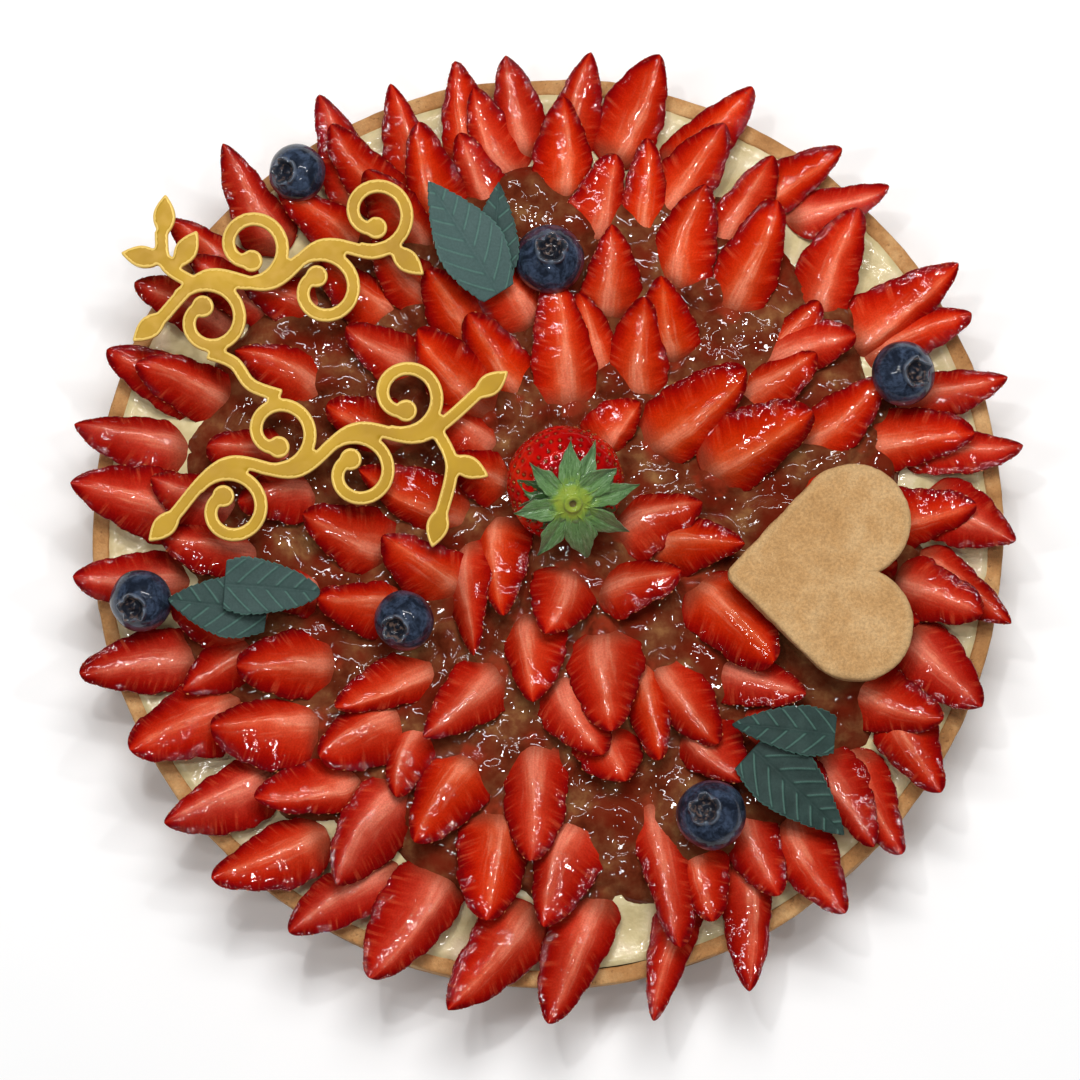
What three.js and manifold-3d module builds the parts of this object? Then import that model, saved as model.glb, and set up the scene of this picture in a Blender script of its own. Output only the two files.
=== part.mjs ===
// A 25 cm strawberry tart: a smooth straight-sided shortcrust case filled with cream, covered with
// rings of quartered strawberries laid tips outwards, and topped with a whole strawberry, six
// blueberries, six fondant leaves, a heart biscuit and a flat gold ornament. Millimetres, +Z up,
// origin under the middle of the case.
import * as THREE from "three";
import { mergeVertices } from "three/addons/utils/BufferGeometryUtils.js";
import Module from "manifold-3d";

const wasm = await Module();
wasm.setup();

// ---- Driving dimensions ----
const GAP = 0.3; // between pieces that touch
const RIGHT_ANGLE = 90; // degrees
const WELD_DISTANCE = 1e-4; // points closer than this are one corner
const SLIVER_AREA = 1e-6; // a face smaller than this is left out

const CASE_RADIUS = 125;
const CASE_HEIGHT = 22;
const CASE_WALL = 4.6;
const CASE_BASE = 4.5;
const CASE_EDGE = 0.9; // rounding of the rim's two edges
const CASE_SIDES = 52;
const CREAM_TOP = 20.8;

const FRUIT_OFFSET_Y = -2.4; // the fruit is laid about a point a little in front of the case's middle
const BED_RADIUS = 112; // the low bed of fruit and jelly that the slices lie in
const BED_SHOULDER = 100;
const BED_TOP = 30;

const WEDGE_HALF_ANGLE = 58; // half the angle between a slice's two cut faces
const SLICE_STATIONS = [0, 0.36, 0.7, 0.92]; // along a slice from its broad end, as a share of its length
const SLICE_WIDEST = 0.3; // where a slice is widest, as a share of its length
const SLICE_BROAD_END = 0.72; // width of its broad end, as a share of the widest
const SLICE_BROAD_END_SINK = 1.6; // how far its broad end bends down into the bed
const SLICE_STRAIGHTNESS = 1.5; // 1 makes its sides straight from the widest place to the tip
const SLICE_TIP_POWER = 0.58; // lower makes the tip blunter
const ROLL_RANGE = 9; // degrees a slice may lean to either side
const LIFT_RANGE = 0.7; // millimetres a slice may lie higher or lower than its ring

// Each ring of slices: how far the ridge stands above the cream at the broad end and at the tip,
// beyond the slice's own thickness, and then its slices. A slice is [azimuth and reach of its tip from
// the middle of the fruit, how far its direction turns from straight outwards, length, width across
// the cut faces, and the roll where it isn't lying on its skin].
const RINGS = [
  {
    baseLift: 0.5,
    tipLift: 2.5,
    slices: [
      [10.5, 132, -13, 34, 14.5],
      [19, 133, -7, 33, 14.5],
      [27.5, 131, -6, 33, 14.5],
      [33.5, 135, 2, 39, 18.5],
      [45.5, 134, -32, 30, 14],
      [53, 134, -23, 33, 15],
      [65.5, 136, -24, 33, 14.5],
      [77, 136, -11, 33, 19],
      [85, 134, -10, 30, 16],
      [95, 133, 5, 30, 15],
      [101, 133.5, -3, 30, 15],
      [109, 132, -9, 32, 14],
      [117.5, 137, -8, 34, 15.5],
      [129.5, 140, -11, 34, 15.5],
      [140, 136, -4, 32, 15.5],
      [148.5, 133, 6, 31, 15.5],
      [157, 131, -7, 32, 15.5],
      [167, 133, 1, 33, 16.5],
      [174, 131, -9, 34, 20.5],
      [185, 130, -7, 32, 17],
      [196.5, 133, -8, 34, 18],
      [207.5, 128, -1, 33, 22],
      [217, 130.5, -14, 33, 19],
      [226, 131, -23, 34, 19],
      [237, 129, -27, 35, 17],
      [248, 130, -13, 37, 21.5],
      [258, 132, -29, 37, 20.5],
      [270, 133, -22, 39, 18],
      [282, 135, -29, 38, 13.5],
      [293.5, 135.5, -21, 40, 15],
      [308, 131, -11, 32, 18.5],
      [317.5, 129.5, -24, 32, 16],
      [326.5, 128, -32, 30, 18],
      [338, 127, -26, 30, 19.5],
      [349, 128.5, -23, 33, 16],
      [359, 127.5, -27, 28, 19.5],
    ],
  },
  {
    baseLift: 1,
    tipLift: 6,
    slices: [
      [4, 117.5, 9, 30, 17.5],
      [13, 120, -8, 32, 17.5],
      [46.5, 124, 21, 35, 18],
      [59.5, 121.5, 1, 33, 16.5],
      [66.5, 123.5, -13, 33, 18],
      [76, 113, 11, 32, 13.5],
      [80, 107, -6, 28, 16],
      [88, 121, 2, 30, 17],
      [99.5, 125.5, 18, 29, 15],
      [102.5, 114, 15, 28, 13.5],
      [107.5, 119.5, 1, 31, 17],
      [118, 128, 13, 34, 15.5],
      [128, 121, 15, 31, 15.5],
      [142, 124, 9, 29, 15.5],
      [157.5, 122.5, -3, 30, 16.5],
      [172, 110, -13, 28, 19],
      [181, 106, -5, 30, 17],
      [190, 105, -30, 27, 15.5],
      [203.5, 109, 5, 28, 17],
      [210, 106.5, -26, 32, 21.5],
      [222, 108, -27, 32, 18],
      [239, 112, -6, 35, 20.5],
      [261, 107.5, 3, 32, 20.5],
      [269.5, 108, -18, 34, 20.5],
      [287.5, 118.5, -8, 44, 16.5],
      [293, 115.5, -12, 25, 14.5],
      [302.5, 117.5, -12, 30, 16.5],
      [316, 123.5, -15, 33, 16],
      [335, 119.5, 3, 29, 18.5],
      [349.5, 121, -11, 28, 17],
    ],
  },
  {
    baseLift: 2,
    tipLift: 8,
    slices: [
      [25, 102, 14, 32, 16.5],
      [32.5, 101, -17, 29, 16.5],
      [40.5, 99, 8, 24, 14],
      [55.5, 111.5, 10, 35, 18],
      [65.5, 106, 7, 32, 18.5],
      [78.5, 87.5, 11, 28, 17.5],
      [116.5, 112.5, 7, 30, 15.5],
      [129.5, 98.5, 11, 28, 15.5],
      [140.5, 109, 14, 29, 15.5],
      [150, 100, 4, 29, 16.5],
      [166, 97, 5, 28, 15.5],
      [175, 86, 14, 25, 16.5],
      [203, 93, -19, 30, 20],
      [225, 88.5, -16, 28, 20],
      [240.5, 84, 8, 26, 14.5],
      [247, 93, -10, 31, 20],
      [267, 90.5, 1, 36, 18.5],
      [287, 73, 3, 20, 20],
      [308, 87.5, 1, 24, 18.5],
      [327.5, 84, 12, 28, 16.5],
      [346.5, 105, 4, 28, 17],
      [355, 96.5, 4, 28, 17],
    ],
  },
  {
    baseLift: 2.5,
    tipLift: 9,
    slices: [
      [8.5, 95, 4, 28, 15.5],
      [25, 80, 6, 35, 22],
      [33.5, 89.5, -2, 28, 15.5],
      [67, 78, 30, 26, 18.5],
      [89, 71, 8, 38, 18],
      [103.5, 78, 24, 25, 17.5],
      [114.5, 80.5, 6, 28, 17.5],
      [121, 95, 16, 28, 15.5],
      [135, 80, 17, 27, 15.5],
      [150, 71, 10, 27, 16.5],
      [161, 55.5, -4, 36, 17.5],
      [175, 68, -15, 29, 18.5],
      [195.5, 66.5, -22, 28, 16],
      [219.5, 76, -15, 33, 15.5],
      [238, 66.5, -17, 31, 18.5],
      [284, 64, 13, 28, 20],
      [295.5, 70, -15, 31, 13.5],
      [308.5, 75, -5, 31, 16.5],
      [329, 72, -15, 33, 20.5],
    ],
  },
  {
    baseLift: 2.5,
    tipLift: 9,
    slices: [
      [40, 71, -2, 36, 20],
      [68, 71, 17.5, 31, 18],
      [110, 65, 15, 29, 15.5],
      [123, 67, 11, 32, 20],
      [134, 49, 16, 25, 16.5],
      [180, 46, -35, 29, 18],
      [243, 38.5, 38, 34, 17.5, 40],
      [266, 48, 8, 28, 18],
      [287, 58.5, -14, 31, 21],
      [357, 55, 7, 29, 18.5],
    ],
  },
  {
    baseLift: 3.5,
    tipLift: 9,
    slices: [
      [10, 44, 6, 27, 18],
      [55, 45, -10, 20, 14.5],
      [83.5, 67, 22.5, 26, 13.5],
      [144, 36, 16, 22, 16.5],
      [244.5, 26.5, 26, 31, 17],
      [267.5, 29.5, -19, 22, 19],
      [342, 39.5, 25, 25, 18, -30],
    ],
  },
  {
    // These four carry the fondant leaves.
    baseLift: 2.5,
    tipLift: 7,
    slices: [
      [190, 82.5, -13, 22, 14.5],
      [190, 99.5, -15, 25, 17],
      [315.5, 106.5, 0, 28, 16],
      [324, 91.5, 30, 24, 14.5],
    ],
  },
];

// The whole strawberry stands in the middle, leaning to the front, with its calyx up.
const BERRY_CENTRE = [4.6, 13.2, 38];
const BERRY_LEAN = [2.1, -7.1, 13]; // direction of its stalk
const BERRY_RADIUS = 16;
const BERRY_CROWN = 11.5; // from the widest ring up to the stalk
const BERRY_TAIL = 16; // from the widest ring down to where it meets the bed
const BERRY_SIDES = 18;
// Its side from the bottom up, as shares of the radius, and of the tail below the widest ring or the
// crown above.
const BERRY_OUTLINE = [
  [0.42, -1],
  [0.8, -0.55],
  [0.97, -0.22],
  [1, 0.08],
  [0.94, 0.42],
  [0.74, 0.76],
  [0.42, 0.95],
];

const CALYX_RADIUS = 6; // of the button that the sepals grow from
const CALYX_HEIGHT = 2;
const STALK_RADIUS = 1.5;
const STALK_HEIGHT = 3.6; // of the stub of stalk, from the button's underside
const SEPAL_ROOT = 4.5; // how far from the stalk a sepal starts
const SEPAL_THICKNESS = 1;
const SEPAL_DROOP = 0.014; // fall towards the tip, for each millimetre from the stalk squared
const SEPAL_SPAN = [0.18, 0.98]; // share of half a sine wave that a sepal's width follows
const SEPAL_FULLNESS = 0.8; // under 1 rounds the outline out
const SEPALS = [
  { azimuth: 8, length: 19.5, width: 6 },
  { azimuth: 42, length: 15, width: 8 },
  { azimuth: 67, length: 17.5, width: 5 },
  { azimuth: 97, length: 17, width: 6 },
  { azimuth: 142, length: 16, width: 5.5 },
  { azimuth: 197, length: 16, width: 6.5 },
  { azimuth: 247, length: 19.5, width: 6.5 },
  { azimuth: 284, length: 19.5, width: 8 },
  { azimuth: 323, length: 21, width: 6.5 },
];

// Blueberries: middle, diameter, and the direction in plan and the tilt from upright of the crown.
const BLUEBERRIES = [
  { at: [-68.6, 99, 34.6], diameter: 16, crownAzimuth: 190, crownTilt: 28 },
  { at: [0.4, 74.6, 37.7], diameter: 19, crownAzimuth: 75, crownTilt: 12 },
  { at: [96.6, 43.3, 38], diameter: 17.7, crownAzimuth: 350, crownTilt: 25 },
  { at: [-110.4, -18.5, 35], diameter: 17, crownAzimuth: 235, crownTilt: 25 },
  { at: [-38.9, -24.3, 38.6], diameter: 16.4, crownAzimuth: 230, crownTilt: 28 },
  { at: [44, -76.8, 38], diameter: 19, crownAzimuth: 150, crownTilt: 15 },
];
const BLUEBERRY_SIDES = 10;
const BLUEBERRY_LATITUDES = [-64, -38, -12, 14, 40, 58]; // degrees, of the rings round a blueberry
const BLUEBERRY_FLATTENING = 0.9; // it is a little lower than it is wide
const CROWN_OUTER = 0.44; // the raised ring of the crown, as shares of the blueberry's radius
const CROWN_INNER = 0.28;
const CROWN_TOP = 0.93;
const CROWN_FLOOR = 0.72;

// Fondant leaves: where the broad end lies, the direction they point in plan, and their size and slope.
const LEAF_THICKNESS = 1.3;
const LEAVES = [
  { at: [-13.5, 64.7, 41.1], heading: 122, length: 36, width: 19, pitch: 4, roll: 4 },
  { at: [-14.9, 67.6, 39], heading: 87, length: 28, width: 13.5, pitch: 4, roll: 0 },
  { at: [-76.2, -22.2, 36.3], heading: 172, length: 27, width: 17, pitch: 5, roll: 0 },
  { at: [-87.4, -14.8, 41.7], heading: 356, length: 26, width: 16, pitch: -8, roll: 0 },
  { at: [77.5, -55.3, 37.5], heading: 174, length: 28, width: 14, pitch: 1, roll: 6 },
  { at: [55.3, -58.9, 36.7], heading: 317, length: 34, width: 19, pitch: -6, roll: 0 },
];
const LEAF_STATIONS = 9;
const LEAF_TOOTH = 0.1; // depth of the toothed edge as a share of the half width
const LEAF_TROUGH = 0.16; // rise of the edges above the midrib for each millimetre of half width
const LEAF_ARCH = 2; // how far the middle of the leaf bows up
const LEAF_BELLY = 0.72; // under 1 moves the widest place towards the stem
const LEAF_FULLNESS = 0.8; // under 1 rounds the outline out
const LEAF_STEM_SHARE = 0.04; // where along its outline a leaf starts, so that its stem has some width

// The heart biscuit lies flat, its point towards the middle of the tart.
const HEART_CENTRE = [73.2, -11.7, 39.4];
const HEART_THICKNESS = 5;
const HEART_LOBE_RADIUS = 15.5;
const HEART_LOBE = [9.5, 14]; // middle of a lobe from the biscuit's middle
const HEART_POINT = -26; // where the straight sides would meet, along the heart's axis
const HEART_TIP_RADIUS = 3;
const HEART_BEVEL = 0.8;
const HEART_ARC_STEPS = 7;
const HEART_TURN = 1; // degrees in plan, from the point lying along -X
const HEART_TILT = 2;

// The gold ornament: two flat vines with scrolls, sprigs and leaves, laid level on the fruit.
const ORNAMENT_AT = [-61, 48, 39.7];
const ORNAMENT_TURN = 15;
const ORNAMENT_THICKNESS = 2.4;
const STEM_WIDTH = 3.6;
const STEPS_PER_SPAN = 2; // short straights between two points of a stem

// The ornament in its own plane: the two vines, the link between them and two sprigs, each a smooth
// stem through a few points.
const STEMS = [
  [[-40, 21], [-25, 29], [-9, 22.5], [7, 29], [20, 23.5], [27, 24.5]],
  [[-50, -32], [-33, -22], [-15, -29], [3, -22], [20, -28.5], [38, -21]],
  [[-30, 8.5], [-24, 4], [-21, -3], [-14, -8]],
  [[-29, 28], [-35, 35], [-34, 44]],
  [[24, -27], [26, -38], [20, -50]],
];

// Scrolls leave a vine with a heading and tighten towards a bead in their middle, anticlockwise where
// the side is 1.
const SCROLL_RADIUS = 10.5; // where a scroll leaves its vine
const SCROLL_END_RADIUS = 4;
const SCROLL_TURN = 396; // degrees from the vine to the bead
const SCROLL_STEP = 44; // degrees of turn to each short straight
const BEAD_RADIUS = 3;
const BEAD_SIDES = 6;
const SCROLLS = [
  { start: [-34, 25.5], heading: 32, side: -1 },
  { start: [-18, 25.5], heading: -32, side: 1 },
  { start: [-2, 25.5], heading: 32, side: -1 },
  { start: [17, 25.5], heading: -32, side: 1 },
  { start: [-42, -26.5], heading: 36, side: -1 },
  { start: [-24, -25.5], heading: -34, side: 1 },
  { start: [-6, -25.5], heading: 34, side: -1 },
  { start: [12, -25], heading: -32, side: 1 },
];

// Small leaves that close the stems' ends or grow from their sides: where each starts and which way it
// points.
const SPRAY_LENGTH = 12;
const SPRAY_WIDTH = 5.6;
const SPRAYS = [
  { start: [-38, 22], heading: 205 },
  { start: [-34, 42], heading: 72 },
  { start: [-35, 36], heading: 155 },
  { start: [-33, 33], heading: 45 },
  { start: [25, 24], heading: -55 },
  { start: [-48, -31], heading: 210 },
  { start: [36, -22], heading: 22 },
  { start: [21, -48], heading: 240 },
  { start: [25.5, -36], heading: 320 },
];

const COLOURS = {
  crust: 0xc89d63,
  cream: 0xe2d6b0,
  slices: 0xc02c1c,
  berry: 0xb81a14,
  calyx: 0x76935a,
  blueberry: 0x2a3348,
  leaf: 0x41685f,
  biscuit: 0xcaa06a,
  gold: 0xcda434,
};

// ---- Helpers ----
const radians = THREE.MathUtils.degToRad;

// A repeatable draw between two values, so that the fruit is laid the same way each time.
let drawState = 7;
function draw(low, high) {
  drawState = (Math.imul(drawState, 1664525) + 1013904223) >>> 0;
  return low + ((high - low) * drawState) / 2 ** 32;
}

// A point in the fruit's own frame, moved into the tart's.
function onTart([x, y, z]) {
  return new THREE.Vector3(x, y + FRUIT_OFFSET_Y, z);
}

function solidOf(geometry) {
  const bare = geometry.clone();
  bare.deleteAttribute("normal");
  bare.deleteAttribute("uv");
  const merged = mergeVertices(bare, WELD_DISTANCE);
  const vertProperties = new Float32Array(merged.attributes.position.array);
  const triVerts = new Uint32Array(merged.index.array);
  return new wasm.Manifold(new wasm.Mesh({ numProp: 3, vertProperties, triVerts }));
}

function geometryOf(solid) {
  const cut = solid.getMesh();
  const geometry = new THREE.BufferGeometry();
  geometry.setAttribute("position", new THREE.BufferAttribute(cut.vertProperties, 3));
  geometry.setIndex(new THREE.BufferAttribute(cut.triVerts, 1));
  const flat = geometry.toNonIndexed();
  flat.computeVertexNormals();
  return flat;
}

function piece(name, geometry, color, roughness, metalness = 0) {
  const mesh = new THREE.Mesh(geometry, new THREE.MeshStandardMaterial({ color, roughness, metalness }));
  mesh.name = name;
  return mesh;
}

// A closed skin through rings of points that run anticlockwise seen from the last ring, flat at both
// ends. Rings may shrink to one point, and the faces that vanish there are left out.
function loft(rings) {
  const corners = [];
  const addFace = (a, b, c) => {
    const area = b.clone().sub(a).cross(c.clone().sub(a)).length() / 2;
    if (area > SLIVER_AREA) {
      corners.push(a, b, c);
    }
  };
  const count = rings[0].length;
  for (let i = 1; i < rings.length; i += 1) {
    for (let j = 0; j < count; j += 1) {
      const next = (j + 1) % count;
      addFace(rings[i - 1][j], rings[i - 1][next], rings[i][next]);
      addFace(rings[i - 1][j], rings[i][next], rings[i][j]);
    }
  }
  const last = rings.length - 1;
  for (let j = 2; j < count; j += 1) {
    addFace(rings[0][0], rings[0][j], rings[0][j - 1]);
    addFace(rings[last][0], rings[last][j - 1], rings[last][j]);
  }
  return new THREE.BufferGeometry().setFromPoints(corners);
}

// A frame whose X axis points along a direction, with Z as near upright as that allows, then rolled
// about X.
function frameAlong(origin, direction, roll = 0) {
  const x = direction.clone().normalize();
  const y = new THREE.Vector3(0, 0, 1).cross(x).normalize();
  const z = x.clone().cross(y);
  const turned = new THREE.Matrix4().makeBasis(x, y, z).setPosition(origin);
  return turned.multiply(new THREE.Matrix4().makeRotationX(radians(roll)));
}

function headingVector(heading, pitch = 0) {
  const flat = Math.cos(radians(pitch));
  const x = flat * Math.cos(radians(heading));
  const y = flat * Math.sin(radians(heading));
  return new THREE.Vector3(x, y, Math.sin(radians(pitch)));
}

// ---- Case and cream ----
function caseGeometry() {
  const inner = CASE_RADIUS - CASE_WALL;
  const profile = [
    [0, 0],
    [CASE_RADIUS, 0],
    [CASE_RADIUS, CASE_HEIGHT - CASE_EDGE],
    [CASE_RADIUS - CASE_EDGE, CASE_HEIGHT],
    [inner + CASE_EDGE, CASE_HEIGHT],
    [inner, CASE_HEIGHT - CASE_EDGE],
    [inner, CASE_BASE],
    [0, CASE_BASE],
  ];
  return turnedSolid(profile, CASE_SIDES);
}

// A profile of [radius, height] pairs turned about the Z axis.
function turnedSolid(profile, sides) {
  const points = profile.map(([radius, height]) => new THREE.Vector2(radius, height));
  return new THREE.LatheGeometry(points, sides).rotateX(radians(RIGHT_ANGLE));
}

function creamGeometry() {
  const radius = CASE_RADIUS - CASE_WALL - GAP;
  const bottom = CASE_BASE + GAP;
  const profile = [
    [0, bottom],
    [radius, bottom],
    [radius, CREAM_TOP],
    [0, CREAM_TOP],
  ];
  return turnedSolid(profile, CASE_SIDES);
}

// All the room taken by case and cream, with the gap that the fruit keeps above them.
function caseKeepOut() {
  const inner = CASE_RADIUS - CASE_WALL;
  const profile = [
    [0, 0],
    [CASE_RADIUS + GAP, 0],
    [CASE_RADIUS + GAP, CASE_HEIGHT + GAP],
    [inner, CASE_HEIGHT + GAP],
    [inner - GAP, CREAM_TOP + GAP],
    [0, CREAM_TOP + GAP],
  ];
  return solidOf(turnedSolid(profile, CASE_SIDES));
}

// ---- Strawberry slices ----
// Half width of a strawberry as a share of its greatest, from its broad end at 0 to its tip at 1.
function berryOutline(share) {
  if (share < SLICE_WIDEST) {
    return 1 - (1 - SLICE_BROAD_END) * ((SLICE_WIDEST - share) / SLICE_WIDEST) ** 2;
  }
  const towardsTip = (share - SLICE_WIDEST) / (1 - SLICE_WIDEST);
  return Math.max(0, 1 - towardsTip ** SLICE_STRAIGHTNESS) ** SLICE_TIP_POWER;
}

// A quarter of a berry with its ridge up: the two cut faces slope down to the skin, which bulges
// below. The origin is at the broad end, halfway down.
function sliceGeometry(length, width) {
  const half = radians(WEDGE_HALF_ANGLE);
  const depth = width / 2 / Math.sin(half);
  const rings = [...SLICE_STATIONS, 1].map((share) => {
    const radius = depth * berryOutline(share);
    const x = length * share;
    const ridge = depth / 2 - (share === 0 ? SLICE_BROAD_END_SINK : 0);
    const side = radius * Math.sin(half);
    const down = ridge - radius * Math.cos(half);
    return [
      new THREE.Vector3(x, 0, ridge),
      new THREE.Vector3(x, -side, down),
      new THREE.Vector3(x, 0, ridge - radius),
      new THREE.Vector3(x, side, down),
    ];
  });
  return { geometry: loft(rings), depth };
}

function sliceSolid(ring, [azimuth, reach, turn, length, width, fixedRoll]) {
  const roll = draw(-ROLL_RANGE, ROLL_RANGE);
  const lift = draw(-LIFT_RANGE, LIFT_RANGE);
  const { geometry, depth } = sliceGeometry(length, width);
  const tip = headingVector(azimuth).multiplyScalar(reach);
  const broadEnd = tip.clone().sub(headingVector(azimuth + turn).multiplyScalar(length));
  const middle = CREAM_TOP + depth / 2 + lift;
  tip.z = middle + ring.tipLift;
  broadEnd.z = middle + ring.baseLift;
  const direction = tip.clone().sub(broadEnd);
  const frame = frameAlong(onTart(broadEnd.toArray()), direction, fixedRoll ?? roll);
  return solidOf(geometry.applyMatrix4(frame));
}

function bedSolid() {
  const floor = CREAM_TOP + GAP;
  const profile = [
    [0, floor],
    [BED_RADIUS, floor],
    [BED_SHOULDER, BED_TOP],
    [0, BED_TOP],
  ];
  return solidOf(turnedSolid(profile, CASE_SIDES / 2).translate(0, FRUIT_OFFSET_Y, 0));
}

function slicesGeometry(keepOuts) {
  const wedges = RINGS.flatMap((ring) => ring.slices.map((slice) => sliceSolid(ring, slice)));
  const heap = wedges.reduce((joined, wedge) => joined.add(wedge), bedSolid());
  const clear = keepOuts.reduce((rest, keepOut) => rest.subtract(keepOut), heap);
  const bodies = clear.decompose().sort((a, b) => b.volume() - a.volume());
  return geometryOf(bodies[0]);
}

// ---- Whole strawberry and calyx ----
function berryFrame() {
  const up = new THREE.Vector3(...BERRY_LEAN).normalize();
  const turn = new THREE.Quaternion().setFromUnitVectors(new THREE.Vector3(0, 0, 1), up);
  return new THREE.Matrix4().makeRotationFromQuaternion(turn).setPosition(onTart(BERRY_CENTRE));
}

function berryGeometry(extra = 0) {
  const side = BERRY_OUTLINE.map(([wide, high]) => {
    const height = high * (high > 0 ? BERRY_CROWN : BERRY_TAIL);
    return [wide * (BERRY_RADIUS + extra), height + extra * Math.sign(high)];
  });
  const profile = [[0, -BERRY_TAIL - extra], ...side, [0, BERRY_CROWN + extra]];
  return turnedSolid(profile, BERRY_SIDES).applyMatrix4(berryFrame());
}

// A pointed sepal that leaves the middle level and droops towards its tip, where it is half as thick.
function sepalSolid({ azimuth, length, width }) {
  const rings = [0, 0.5, 1].map((share) => {
    const x = THREE.MathUtils.lerp(SEPAL_ROOT, length, share);
    const phase = Math.PI * THREE.MathUtils.lerp(...SEPAL_SPAN, share);
    const half = (width / 2) * Math.sin(phase) ** SEPAL_FULLNESS;
    const top = SEPAL_THICKNESS - SEPAL_DROOP * x * x;
    const bottom = top - SEPAL_THICKNESS * (1 - share / 2);
    return [
      new THREE.Vector3(x, -half, bottom),
      new THREE.Vector3(x, half, bottom),
      new THREE.Vector3(x, half, top),
      new THREE.Vector3(x, -half, top),
    ];
  });
  return solidOf(loft(rings).rotateZ(radians(azimuth)));
}

function calyxGeometry() {
  const profile = [
    [0, 0],
    [CALYX_RADIUS, 0],
    [CALYX_RADIUS / 2, 0.9 * CALYX_HEIGHT],
    [STALK_RADIUS, CALYX_HEIGHT],
    [STALK_RADIUS, STALK_HEIGHT],
    [0, STALK_HEIGHT],
  ];
  const button = solidOf(turnedSolid(profile, BERRY_SIDES / 2));
  const joined = SEPALS.map(sepalSolid).reduce((all, sepal) => all.add(sepal), button);
  const lift = new THREE.Matrix4().makeTranslation(0, 0, BERRY_CROWN + 2 * GAP);
  return geometryOf(joined).applyMatrix4(berryFrame().multiply(lift));
}

// ---- Blueberries ----
function blueberryGeometry({ at, diameter, crownAzimuth, crownTilt }, extra = 0) {
  const radius = diameter / 2 + extra;
  const height = radius * BLUEBERRY_FLATTENING;
  const skin = BLUEBERRY_LATITUDES.map(radians).map((latitude) => [
    radius * Math.cos(latitude),
    height * Math.sin(latitude),
  ]);
  const crown = [
    [CROWN_OUTER * radius, CROWN_TOP * radius],
    [((CROWN_OUTER + CROWN_INNER) / 2) * radius, CROWN_TOP * radius],
    [CROWN_INNER * radius, CROWN_FLOOR * radius],
    [0, CROWN_FLOOR * radius],
  ];
  const profile = [[0, -height], ...skin, ...crown];
  const tilt = new THREE.Matrix4().makeRotationY(radians(crownTilt));
  const turn = new THREE.Matrix4().makeRotationZ(radians(crownAzimuth));
  const place = turn.multiply(tilt).setPosition(onTart(at));
  return turnedSolid(profile, BLUEBERRY_SIDES).applyMatrix4(place);
}

// ---- Fondant leaves ----
// Half width of a leaf as a share of its greatest, from its stem at 0 to its tip at 1.
function leafOutline(share) {
  return Math.sin(Math.PI * share ** LEAF_BELLY) ** LEAF_FULLNESS;
}

// Both faces are the same net of points, one thickness apart, with a trough along the midrib, an arch
// along the length and a toothed edge.
function leafGeometry({ at, heading, length, width, pitch, roll }, extra = 0) {
  const rings = [];
  for (let i = 0; i <= LEAF_STATIONS; i += 1) {
    const share = i / LEAF_STATIONS;
    const tooth = i % 2 ? 1 : 1 - LEAF_TOOTH;
    const half = (width / 2) * tooth * leafOutline(Math.min(1, LEAF_STEM_SHARE + share)) + extra;
    const x = length * share + extra * (2 * share - 1);
    const middle = LEAF_ARCH * Math.sin(Math.PI * share);
    const edge = middle + LEAF_TROUGH * half;
    const top = LEAF_THICKNESS / 2 + extra;
    rings.push([
      new THREE.Vector3(x, 0, middle - top),
      new THREE.Vector3(x, half, edge - top),
      new THREE.Vector3(x, half, edge + top),
      new THREE.Vector3(x, 0, middle + top),
      new THREE.Vector3(x, -half, edge + top),
      new THREE.Vector3(x, -half, edge - top),
    ]);
  }
  return loft(rings).applyMatrix4(frameAlong(onTart(at), headingVector(heading, pitch), roll));
}

// ---- Heart biscuit ----
// Two round lobes, straight sides that leave them smoothly, and a rounded point.
function heartShape(grow = 0) {
  const [lobeX, lobeY] = HEART_LOBE;
  const radius = HEART_LOBE_RADIUS + grow;
  const toLobe = Math.hypot(lobeX - HEART_POINT, lobeY);
  const sideAngle = Math.atan2(lobeY, lobeX - HEART_POINT) + Math.asin(HEART_LOBE_RADIUS / toLobe);
  const sideEnd = sideAngle + radians(RIGHT_ANGLE);
  const notch = -Math.asin(lobeY / radius);
  const tipX = HEART_POINT + HEART_TIP_RADIUS / Math.sin(sideAngle);
  const shape = new THREE.Shape();
  shape.absarc(lobeX, lobeY, radius, notch, sideEnd, false);
  shape.absarc(tipX, 0, HEART_TIP_RADIUS + grow, sideEnd, 2 * Math.PI - sideEnd, false);
  shape.absarc(lobeX, -lobeY, radius, -sideEnd, -notch, false);
  shape.closePath();
  return shape;
}

function heartFrame(lift) {
  const turn = new THREE.Matrix4().makeRotationZ(radians(HEART_TURN));
  const tilt = new THREE.Matrix4().makeRotationY(radians(HEART_TILT));
  const middle = onTart(HEART_CENTRE).setZ(HEART_CENTRE[2] + lift);
  return turn.multiply(tilt).setPosition(middle);
}

function heartGeometry() {
  const options = {
    depth: HEART_THICKNESS - 2 * HEART_BEVEL,
    bevelThickness: HEART_BEVEL,
    bevelSize: HEART_BEVEL,
    bevelOffset: -HEART_BEVEL,
    bevelSegments: 1,
    curveSegments: HEART_ARC_STEPS,
  };
  return new THREE.ExtrudeGeometry(heartShape(), options).applyMatrix4(heartFrame(HEART_BEVEL));
}

// The biscuit's place and the air above it, kept free of fruit.
function heartKeepOut() {
  const options = {
    depth: 3 * HEART_THICKNESS,
    bevelEnabled: false,
    curveSegments: HEART_ARC_STEPS,
  };
  return solidOf(new THREE.ExtrudeGeometry(heartShape(GAP), options).applyMatrix4(heartFrame(-GAP)));
}

// ---- Gold ornament ----
function plateSolid(outline) {
  const options = { depth: ORNAMENT_THICKNESS, bevelEnabled: false };
  return solidOf(new THREE.ExtrudeGeometry(new THREE.Shape(outline), options));
}

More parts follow.
